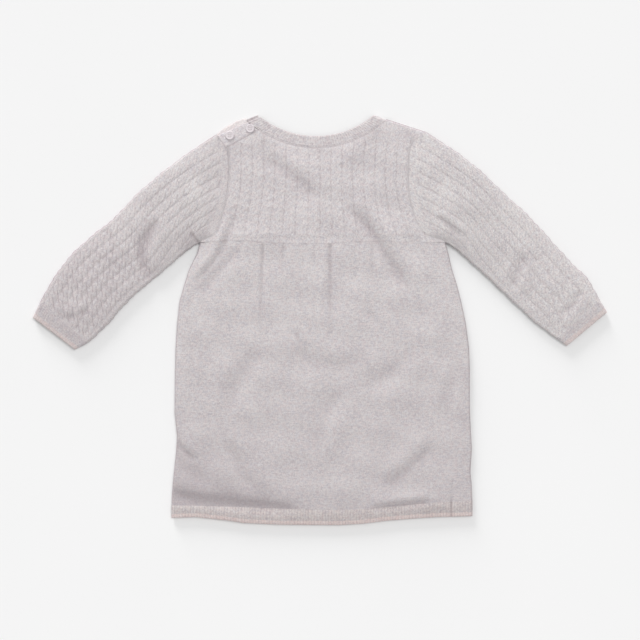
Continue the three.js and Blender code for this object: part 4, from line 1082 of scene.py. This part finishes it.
def chain(name, path, pitch, lean, size, material):
    """A row of small slanted stitches laid along a seam; path runs along it at the cloth's surface."""
    run = run_along(path)
    count = int(run[-1] / pitch)
    at = (np.arange(count) + 0.5) * run[-1] / count
    centre = np.stack([np.interp(at, run, path[:, i]) for i in range(3)], -1)
    ahead = np.stack([np.interp(at + 0.2, run, path[:, i]) - np.interp(at - 0.2, run, path[:, i])
                      for i in range(3)], -1)
    turn = np.arctan2(ahead[:, 1], ahead[:, 0]) + lean
    rings, around = 5, 8
    polar = np.linspace(0, np.pi, rings + 2)[1:-1]
    angle = np.arange(around) * 2 * np.pi / around
    body = np.stack([np.cos(polar)[:, None] + 0 * angle, np.sin(polar)[:, None] * np.cos(angle),
                     np.sin(polar)[:, None] * np.sin(angle)], -1).reshape(-1, 3)
    body = np.vstack([body, [[1, 0, 0], [-1, 0, 0]]]) * size
    cos, sin = np.cos(turn)[:, None], np.sin(turn)[:, None]
    local = np.stack([body[:, 0] * cos - body[:, 1] * sin, body[:, 0] * sin + body[:, 1] * cos,
                      body[:, 2] + 0 * cos], -1)
    points = (centre[:, None] + local).reshape(-1, 3)
    ring = closed(np.arange(rings * around).reshape(rings, around))
    quads = row_faces(ring[:-1], ring[1:])
    caps = [(rings * around, ring[0, i + 1], ring[0, i]) for i in range(around)]
    caps += [(rings * around + 1, ring[-1, i], ring[-1, i + 1]) for i in range(around)]
    shift = (np.arange(count) * len(body))[:, None, None]
    all_quads = (quads[None, :, ::-1] + shift).reshape(-1, 4)
    all_caps = (np.array(caps)[None, :, ::-1] + shift).reshape(-1, 3)
    full = np.concatenate([points, points[:, :2], np.zeros((len(points), 1))], axis=1)
    return cloth_mesh(name, full, all_quads, all_caps, material)


NECK_CHAIN = {"pitch": 2.4, "lean": 0.5, "size": (1.1, 0.45, 0.3)}
linking_yarn = knitted("linking_yarn", NECK_MIX, streak=(2.0, 2.0), wale=0.9, course=0.9, depth=0.2)
neck_seam = neck_over[-3, 4:-8, :3] + (0, 0, 0.02)
neck_chain = chain("neckband_linking", neck_seam, material=linking_yarn, **NECK_CHAIN)
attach(neck_chain, "root")

# Shoulder opening. The back carries a plain buttonhole band that laps over a narrow stand on the front;
# the stand is bound off in pink and shows as a thin edge beyond the band.
STAND_EDGE = [(-73.8, 201.9), (-80, 200.4), (-89, 196), (-97, 191.3), (-103.6, 186)]
BAND_EDGE = [(-72.1, 197.9), (-80, 194.7), (-88, 191), (-96, 187.6), (-102.8, 184.2)]
BAND_DROP = 0.7          # how far the band's rounded edge turns down
BAND_SINK = 0.25         # of its seams with the yoke and the sleeve
STAND_ROUND = 0.5        # the same for the stand's edge, on both of its faces
# painted shade along the stand's rounded edge
STAND_EDGE_PAINTED_SHADE = 0.6
plain_band = knitted("plain_band", heathered(222, 215, 217, 12), streak=(2.6, 1.8), shadow=PAINTED_CREASE_SHADE)
pink_stand = knitted("pink_stand", heathered(244, 236, 235, 6), streak=(2.4, 2.4), wale=RIB_PITCH,
                     shadow=RIB_SHADOW)


def band_points(edge, foot, rows, columns):
    """Places from the band's edge down to its foot, their depth as a share, and in millimetres."""
    along = np.linspace(0, 1, columns)
    depth = np.linspace(0, 1, rows)[:, None] ** 1.3
    upper = soft_curve(edge, even_steps(edge, along))
    lower = lerp(np.array(foot[0]), np.array(foot[1]), along[:, None])
    flat = lerp(upper[None], lower[None], depth[..., None])
    across = np.linalg.norm(flat - upper[None], axis=-1)
    return flat, depth + 0 * across, across


def band_top(x, y, depth):
    """The band laps over the stand at its edge and is level with the yoke at its foot."""
    return lerp(WALL * 2 + SEAM, body_top(x, y) + CABLE_RISE * PLAIN_SHARE, np.sqrt(depth))


def shoulder_band(rows, columns):
    flat, depth, across = band_points(BAND_EDGE, BAND_FOOT, rows, columns)
    x, y = flat[..., 0], flat[..., 1]
    rounded = 1 - roll_rise(across, EDGE_ROUND)
    pulled = dip(flat, ["high", "right"], BAND_SINK)
    top = band_top(x, y, depth) - BAND_DROP * rounded - pulled
    length = np.linalg.norm(flat - flat[:, :1], axis=-1)
    # Painted shade in the sunk seams and along the rounded edge
    return grid(x, y, top, length, across, pulled + ROUND_PAINTED_SHADE * rounded)


band_over, band_under = shoulder_band(26, 60), shoulder_band(8, 16)
band_under[..., 2] -= WALL - BAND_DROP * (1 - roll_rise(band_under[..., 4], EDGE_ROUND))
back_band = panel("buttonhole_band", band_over, band_under, plain_band)
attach(back_band, "root")
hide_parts("shoulder_band_back")


def shoulder_stand(rows, columns, inner):
    flat, depth, across = band_points(STAND_EDGE, STAND_FOOT, rows, columns)
    rounded = 1 - roll_rise(across, EDGE_ROUND)
    z = STAND_ROUND * rounded if inner else WALL - STAND_ROUND * rounded
    length = np.linalg.norm(flat - flat[:, :1], axis=-1)
    painted_shade = (1 - rib(length / RIB_PITCH)) * GROOVE_PAINTED_SHADE["stand"] + STAND_EDGE_PAINTED_SHADE * rounded
    return grid(flat[..., 0], flat[..., 1], z, length, across, painted_shade)


stand_over, stand_under = shoulder_stand(16, 60, False), shoulder_stand(6, 20, True)
front_stand = panel("button_stand", stand_over, stand_under, pink_stand)
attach(front_stand, "root")
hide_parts("shoulder_stand_front")

# Sleeves. Each is one cabled piece folded lengthwise and linked under the arm, so it lies as a flat tube.
# Its cables run parallel to the fold; a plain margin follows the armhole.

# The folded edge and the underarm edge at stations 0 to 9, from the armhole down to the edge of the cuff
SLEEVES = {
    "left": {
        "fold": [(-104.9, 185.5), (-131, 167.8), (-158, 147.5), (-183, 126), (-206, 102), (-229, 83.5),
                 (-249, 65), (-266, 42.5), (-280, 18), (-287.3, 2.5)],
        "arm": [(-120.5, 77.6), (-128, 73), (-137, 66), (-148, 56.5), (-162, 44.5), (-179, 30.5),
                (-196, 14.5), (-211, -3), (-232, -22.5), (-245, -29.5)],
    },
    "right": {
        "fold": [(106.9, 188.2), (135, 169.5), (160, 150), (183, 128), (208, 105), (231, 80),
                 (251, 58), (268, 41), (280, 20), (287.3, 8)],
        "arm": [(126, 77.6), (133, 73), (142, 65.5), (153, 55.5), (167, 43), (183, 27.5),
                (200, 11.5), (217, -4), (236.5, -18.5), (247, -25.8)],
    },
}
CUFF_STATION = 8         # the station where the cables end and the rib starts
LAST_STATION = 9
SLEEVE_CABLE_PITCH = 10.5
FIRST_GUTTER = 4         # where the cables begin, from the fold
UNDERARM_PLAIN = 4       # plain knit along the underarm seam
SLEEVE_TWIST = {"left": 0.34, "right": 0.24}     # how clearly the crossings show
LOWER_TWIST = {"left": 0.22, "right": 0.1}       # how much clearer they get below the elbow
ELBOW = 90               # its distance from the armhole
CAP_MARGIN, CAP_FADE = 5, 5              # plain knit along the armhole, and over how much the cables begin
UNDERARM_FADE = 3
GUTTER_FADE = 0.25
UNDERARM_REACH = 24      # the sleeve puffs up more slowly on its underarm side
BOW_REACH = 2.6          # stations over which the armhole's curve fades out
CUFF_FLAT = 1.6          # stations over which a sleeve gets flat at its cuff
CAP_BLEND = 12           # how far from the armhole the sleeve still keeps to the yoke's level
SLEEVE_SHADE = {"left": 0.5, "right": 0.08}      # how much darker the sleeve looks towards its cuff
SLEEVE_LONG = 200
CUFF_GAP = 0.0004        # stations between the sleeve and its cuff
CUFF_LEVEL = 0.55        # how much higher than plain cloth the cuff stands, level with the cables
CABLES_END = 5           # over how much of the sleeve's end the cables run out
CAP_PAINTED_SHADE = {"left": 0.42, "right": 0.05}        # painted shade beside the armhole, where the flat sleeve cap faces the lamps
CAP_REACH = 34
ARM_RIM = 0.25           # painted shade along the underarm edge, as a share of the fold's
# painted shade on the inner faces of the sleeves and cuffs
TUBE_LINING_PAINTED_SHADE = 0.4
SLEEVE_THICKER = 0.2     # how much thicker than plain cloth the sleeve is, below its cables
BUMP = 0.28              # how far each cable crossing pushes out the sleeve's outline
BUMPS_FROM, BUMPS_IN, BUMPS_OUT = 6, 14, 10      # where the bumps begin, and how softly they come and go


def sleeve_rows(side, first, last, count):
    """Stations at equal steps along the fold, and their distance from the armhole."""
    fold = SLEEVES[side]["fold"]
    steps = np.linspace(0, LAST_STATION, 900)
    run = run_along(soft_curve(fold, steps))
    along = np.linspace(np.interp(first, steps, run), np.interp(last, steps, run), count)
    return np.interp(along, run, steps), along


def sleeve_flat(side, stations, shares):
    """x and y across each station, for shares from the fold to the underarm, and its width."""
    fold = soft_curve(SLEEVES[side]["fold"], stations)[:, None]
    arm = soft_curve(SLEEVES[side]["arm"], stations)[:, None]
    start = SLEEVES[side]["fold"][0], SLEEVES[side]["arm"][0]
    straight = lerp(np.array(start[0]), np.array(start[1]), shares[..., None])
    bow = armhole(side, limited(1 - shares), SEAM / 2) - straight
    fade = limited(1 - stations / BOW_REACH) ** 2
    flat = lerp(fold, arm, shares[..., None]) + bow * fade[:, None, None]
    return flat, np.linalg.norm(arm - fold, axis=-1)


def tube_height(distance, width, face):
    return folded_over(MIDDLE, face, np.minimum(distance, width - distance))


def sleeve_top(x, y, distance, width, stations):
    """Outer face of a sleeve; it lies flatter towards the edge of its cuff."""
    puff = limited((LAST_STATION - stations) / CUFF_FLAT)[:, None]
    inside = builds(distance) * builds(width - distance, UNDERARM_REACH)
    return UPPER + np.maximum(((LOFT + swell(x, y)) * inside + fold_rise(x, y)) * puff, LEAST_LOFT)


def from_armhole(side, flat):
    """How far each point is from the armhole seam."""
    seam = armhole(side, np.linspace(0, 1, 30), SEAM / 2)
    return np.min([np.hypot(flat[..., 0] - x, flat[..., 1] - y) for x, y in seam], axis=0)


def sleeve_cables(side, flat, distance, width, along):
    """Height of the cables and the plain margins, and how dark the grooves are."""
    cabled = limited((from_armhole(side, flat) - CAP_MARGIN) / CAP_FADE)
    cabled = cabled * limited((width - UNDERARM_PLAIN - distance) / UNDERARM_FADE)
    cabled = cabled * limited((distance - FIRST_GUTTER) / GUTTER_FADE)
    twist = SLEEVE_TWIST[side] + LOWER_TWIST[side] * limited((along - ELBOW) / ELBOW)
    height, groove = cable((distance - FIRST_GUTTER) / SLEEVE_CABLE_PITCH + 1, along, twist)
    margin = lerp(plain_level(flat[..., 1]), PLAIN_SHARE, limited(from_armhole(side, flat) / CAP_BLEND))
    return lerp(margin, height, cabled), groove * cabled


def tube(name, over, under, inner_over, inner_under, material):
    """A flat tube from its four faces; each runs from the fold to the underarm along its rows."""
    outer = np.concatenate([over, under[:, -2:0:-1]], axis=1)
    inner = np.concatenate([inner_over, inner_under[:, -2:0:-1]], axis=1)
    points = np.concatenate([outer.reshape(-1, 6), inner.reshape(-1, 6)])
    skin = closed(numbered(outer))
    lining = closed(numbered(inner, outer.shape[0] * outer.shape[1]))
    quads = np.concatenate([row_faces(skin[:-1], skin[1:]), row_faces(lining[1:], lining[:-1])])
    ends = edge_faces(lining[0], skin[0]) + edge_faces(skin[-1], lining[-1])
    return cloth_mesh(name, points, quads, np.array(ends), material)


def bumps(flat, distance, width, along):
    """Small uneven bumps along both edges of the sleeve, one at each crossing of its cables."""
    outward = (flat[:, :1] - flat[:, -1:]) / width[:, None]
    waves = np.sin(2 * np.pi * along / CABLE_CROSSING + 1.4 * np.sin(along / 11))
    waves = waves + 0.9 * np.sin(along / 4.7)
    waves = BUMP * waves * limited((along - BUMPS_FROM) / BUMPS_IN)
    waves = waves * limited((along[-1] - along) / BUMPS_OUT)
    near = np.exp(-distance / ROLL) - np.exp(-(width - distance) / ROLL)
    return outward * (waves[:, None] * near)[..., None]


def sleeve_faces(side, rows, columns, under_columns):
    stations, along = sleeve_rows(side, 0, CUFF_STATION - CUFF_GAP, rows)
    faces = []
    for count, upper in ((columns, True), (under_columns, False)):
        shares = edge_shares(count)
        flat, width = sleeve_flat(side, stations, shares)
        distance = shares * width
        flat = flat + bumps(flat, distance, width, along)
        x, y = flat[..., 0], flat[..., 1]
        height, groove = sleeve_cables(side, flat, distance, width, along[:, None])
        gathered = limited((along[-1] - along) / CABLES_END)[:, None]
        height = lerp(CUFF_LEVEL / CABLE_RISE, height, gathered)
        groove = groove * gathered
        if upper:
            pulled = dip(flat, ["low"], ARMHOLE_SINK[side]) * armhole_pull(y)
            near = limited(from_armhole(side, flat) / CAP_BLEND)
            level = lerp(body_top(x, y), sleeve_top(x, y, distance, width, stations), near)
            face = level + CABLE_RISE * height - pulled
            # Painted shade beside the armhole and along both edges, in the grooves, sunk seams and fold
            # hollows; the sleeve also gets darker towards its cuff
            shade = SLEEVE_SHADE[side] * limited(along[:, None] / SLEEVE_LONG)
            shade = shade + CAP_PAINTED_SHADE[side] * limited(1 - from_armhole(side, flat) / CAP_REACH)
            rim = painted_rim_shade(distance) + ARM_RIM * painted_rim_shade(width - distance)
            painted_shade = np.maximum(groove, PULL_PAINTED_SHADE * pulled) + painted_fold_shade(x, y) + shade + rim
        else:
            face = PRESSED_RISE * (1 - height) * limited(from_armhole(side, flat) / 6)
            painted_shade = groove
        sign = 1 if upper else -1
        faces.append(grid(x, y, tube_height(distance, width, face), sign * distance, along[:, None], painted_shade))
    return faces


def lining_faces(side, stations, columns):
    width = sleeve_flat(side, stations, np.zeros(1))[1]
    distance = np.clip(np.linspace(0, 1, columns) * width, WALL, width - WALL)
    flat = sleeve_flat(side, stations, distance / width)[0]
    x, y = flat[..., 0], flat[..., 1]
    top = sleeve_top(x, y, distance, width, stations) - WALL - SLEEVE_THICKER
    inset = np.minimum(distance, width - distance) - WALL
    heights = [folded_over(MIDDLE, face, inset) for face in (top, WALL)]
    return [grid(x, y, z, distance, stations[:, None], TUBE_LINING_PAINTED_SHADE) for z in heights]


sleeve_yarn = knitted("sleeve_yarn", heathered(230, 224, 224, 15), streak=(1.8, 1.8), shadow=PAINTED_GUTTER_SHADE)
for side in ("left", "right"):
    over, under = sleeve_faces(side, 340, 170, 60)
    lining = lining_faces(side, sleeve_rows(side, 0, CUFF_STATION - CUFF_GAP, 60)[0], 30)
    piece = tube(f"{side}_sleeve", over, under, *lining, sleeve_yarn)
    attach(piece, "root")
    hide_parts(f"sleeve_{side}")
    width, length = sleeve_flat(side, np.array([0.0]), edge_shares(3))[1].item(), over[-1, 0, 4]

# Cuffs. One-by-one rib, linked to the sleeves' ends and bound off in the pink tipping yarn.
# Each is a short flat tube, closed by the same underarm seam.
CUFF_RIBS = 24
CUFF_RIB_RISE = 0.16
CUFF_ROUND = {"upper": 0.6, "lower": 0.5}        # how far its faces round off at the edge
CUFF_TIP = {"wide": 5.6, "shades": heathered(228, 215, 213, 8)}
cuff_rib = knitted("cuff_rib", heathered(219, 212, 213, 13), streak=(1.8, 1.8), wale=RIB_PITCH,
                   shadow=RIB_SHADOW, tip=CUFF_TIP)


def cuff_faces(side, rows, columns):
    stations, along = sleeve_rows(side, CUFF_STATION + CUFF_GAP, LAST_STATION, rows)
    shares = edge_shares(columns, 0.3)
    flat, width = sleeve_flat(side, stations, shares)
    x, y, distance = flat[..., 0], flat[..., 1], shares * width
    ridges = rib(distance / width * CUFF_RIBS)
    begun = limited((along - along[0]) / RIB_BEGINS)[:, None]
    from_edge = (along[-1] - along)[:, None] + 0 * distance
    rounded = 1 - roll_rise(from_edge, EDGE_ROUND)
    level = CUFF_LEVEL * limited(from_edge / PRESSED_REACH)
    top = sleeve_top(x, y, distance, width, stations) + level
    top = top + CUFF_RIB_RISE * ridges * begun - CUFF_ROUND["upper"] * rounded
    low = CUFF_RIB_RISE * (1 - ridges) + CUFF_ROUND["lower"] * rounded
    # Painted shade in the rib grooves; the cuff also gets darker as its sleeve does
    painted_shade = (1 - ridges) * GROOVE_PAINTED_SHADE["cuff"] + SLEEVE_SHADE[side] * limited(from_edge / PRESSED_REACH)
    heights = [tube_height(distance, width, face) for face in (top, low)]
    return [grid(x, y, z, distance, from_edge, painted_shade) for z in heights]


for side in ("left", "right"):
    over, under = cuff_faces(side, 18, 150)
    lining = lining_faces(side, np.linspace(CUFF_STATION + CUFF_GAP, LAST_STATION, 6), 40)
    piece = tube(f"{side}_cuff", over, under, *lining, cuff_rib)
    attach(piece, "root")
    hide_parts(f"cuff_{side}")

# Buttons. Two small sewn-through shell buttons close the shoulder opening, one by the neckband and one
# near the armhole, each with a raised rim, four holes and two bars of thread.
# along is the share of the band's length from the neck, depth that from its edge to its foot
BUTTONS = {"button_neck": {"along": 0.12, "depth": 0.6}, "button_armhole": {"along": 0.7, "depth": 0.4}}
BUTTON_RADIUS = 4.4
BUTTON_HEIGHT = 1.4
BUTTON_TILT = 0.1        # slope of the band under it
HOLE_RADIUS = 0.42
HOLE_OFF = 1.15          # from the button's middle, both ways
THREAD_RADIUS = 0.26


def shell_material():
    material, tree, shader = new_material("button_shell")
    clouds = tree.nodes.new("ShaderNodeTexNoise")
    clouds.inputs["Scale"].default_value = 420
    clouds.inputs["Distortion"].default_value = 1.2
    shade = tones(tree, clouds.outputs[0], heathered(213, 205, 208, 5))
    tree.links.new(shade, shader.inputs["Base Color"])
    shader.inputs["Roughness"].default_value = 0.4
    shader.inputs["Coat Weight"].default_value = 0.15
    return material


def turned(profile, around):
    """Points and faces of a turned form, from its radius and height at each ring, closed at both ends."""
    angle = np.arange(around) * 2 * np.pi / around
    radius, height = np.array(profile, float).T
    points = np.stack([radius[:, None] * np.cos(angle), radius[:, None] * np.sin(angle),
                       height[:, None] + 0 * angle], -1)
    numbers = numbered(points)
    rings = closed(numbers)
    faces = row_faces(rings[:-1], rings[1:])[:, ::-1].tolist()
    return points.reshape(-1, 3), [*faces, numbers[0, ::-1].tolist(), numbers[-1].tolist()]


def plain_piece(name, points, faces, material):
    mesh = bpy.data.meshes.new(name)
    mesh.from_pydata((points * MM).tolist(), [], faces)
    mesh.validate()
    mesh.materials.append(material)
    return in_scene(name, mesh)


def drilled(disc, drill):
    """Cuts the drill's form out of the disc."""
    cut = disc.modifiers.new("holes", "BOOLEAN")
    cut.object = drill
    seen = bpy.context.evaluated_depsgraph_get()
    disc.data = bpy.data.meshes.new_from_object(disc.evaluated_get(seen))
    disc.modifiers.remove(cut)
    bpy.data.objects.remove(drill)
    disc.data.shade_smooth()
    disc.data.set_sharp_from_angle(angle=0.6)


def button_frame(along, depth):
    """Where a button sits on the band, and the turn from upright to the band's slope."""
    upper = soft_curve(BAND_EDGE, even_steps(BAND_EDGE, along))
    lower = lerp(np.array(BAND_FOOT[0]), np.array(BAND_FOOT[1]), along)
    x, y = lerp(upper, lower, depth)
    downhill = (lower - upper) / np.linalg.norm(lower - upper)
    up = Vector((-BUTTON_TILT * downhill[0], -BUTTON_TILT * downhill[1], 1)).normalized()
    seat = Vector((x, y, float(band_top(x, y, depth)) + 2 * SEAM))
    return seat, Vector((0, 0, 1)).rotation_difference(up).to_matrix()


def placed(points, seat, turn):
    return points @ np.array(turn).T + np.array(seat)


def thread_material():
    material, tree, shader = new_material("sewing_thread")
    twist = tree.nodes.new("ShaderNodeTexWave")
    twist.inputs["Scale"].default_value = 900
    tree.links.new(tones(tree, twist.outputs[0], heathered(222, 214, 214, 8)), shader.inputs["Base Color"])
    shader.inputs["Roughness"].default_value = 0.8
    return material


shell = shell_material()
thread = thread_material()
BUTTON_PROFILE = [
    (1.0, 0),
    (BUTTON_RADIUS - 0.6, 0),
    (BUTTON_RADIUS - 0.1, 0.5),
    (BUTTON_RADIUS, 1.0),
    (BUTTON_RADIUS - 0.15, BUTTON_HEIGHT - 0.25),
    (BUTTON_RADIUS - 0.5, BUTTON_HEIGHT),
    (BUTTON_RADIUS - 0.95, BUTTON_HEIGHT),
    (BUTTON_RADIUS - 1.35, BUTTON_HEIGHT - 0.12),
    (BUTTON_RADIUS - 1.8, BUTTON_HEIGHT - 0.18),
    (1.0, BUTTON_HEIGHT - 0.2),
]
DRILL_PROFILE = [(HOLE_RADIUS, -1), (HOLE_RADIUS, BUTTON_HEIGHT + 1)]
THREAD_STEPS, THREAD_SIDES = 9, 8


def thread_bar(y):
    """A bar of thread from hole to hole, standing a little above the button's middle."""
    path = np.linspace(-HOLE_OFF, HOLE_OFF, THREAD_STEPS)[:, None]
    bow = BUTTON_HEIGHT - 0.75 + 0.6 * (1 - (path / HOLE_OFF) ** 4)
    ring = np.arange(THREAD_SIDES) * 2 * np.pi / THREAD_SIDES
    return np.stack([path + 0 * ring, y + THREAD_RADIUS * np.cos(ring) + 0 * path,
                     bow + THREAD_RADIUS * np.sin(ring)], -1).reshape(-1, 3)


def thread_faces():
    """The faces of two bars of thread."""
    count = THREAD_STEPS * THREAD_SIDES
    numbers = np.arange(count).reshape(THREAD_STEPS, THREAD_SIDES)
    rings = closed(numbers)
    one = row_faces(rings[:-1], rings[1:])[:, ::-1].tolist()
    one += [numbers[0].tolist(), numbers[-1, ::-1].tolist()]
    return one + [[number + count for number in face] for face in one]


for name, place in BUTTONS.items():
    seat, turn = button_frame(**place)
    points, faces = turned(BUTTON_PROFILE, 48)
    disc = plain_piece(f"{name}_shell", placed(points, seat, turn), faces, shell)
    points, faces = turned(DRILL_PROFILE, 12)
    offs = [(x, y, 0) for x in (-HOLE_OFF, HOLE_OFF) for y in (-HOLE_OFF, HOLE_OFF)]
    drill_points = np.concatenate([points + off for off in offs])
    drill_faces = [[number + len(points) * i for number in face] for i in range(len(offs)) for face in faces]
    drilled(disc, plain_piece(f"{name}_drill", placed(drill_points, seat, turn), drill_faces, shell))
    bars = np.concatenate([thread_bar(-HOLE_OFF), thread_bar(HOLE_OFF)])
    bar = plain_piece(f"{name}_thread", placed(bars, seat, turn), thread_faces(), thread)
    bar.data.shade_smooth()
    for piece in (disc, bar):
        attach(piece, "root")
    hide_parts(name)
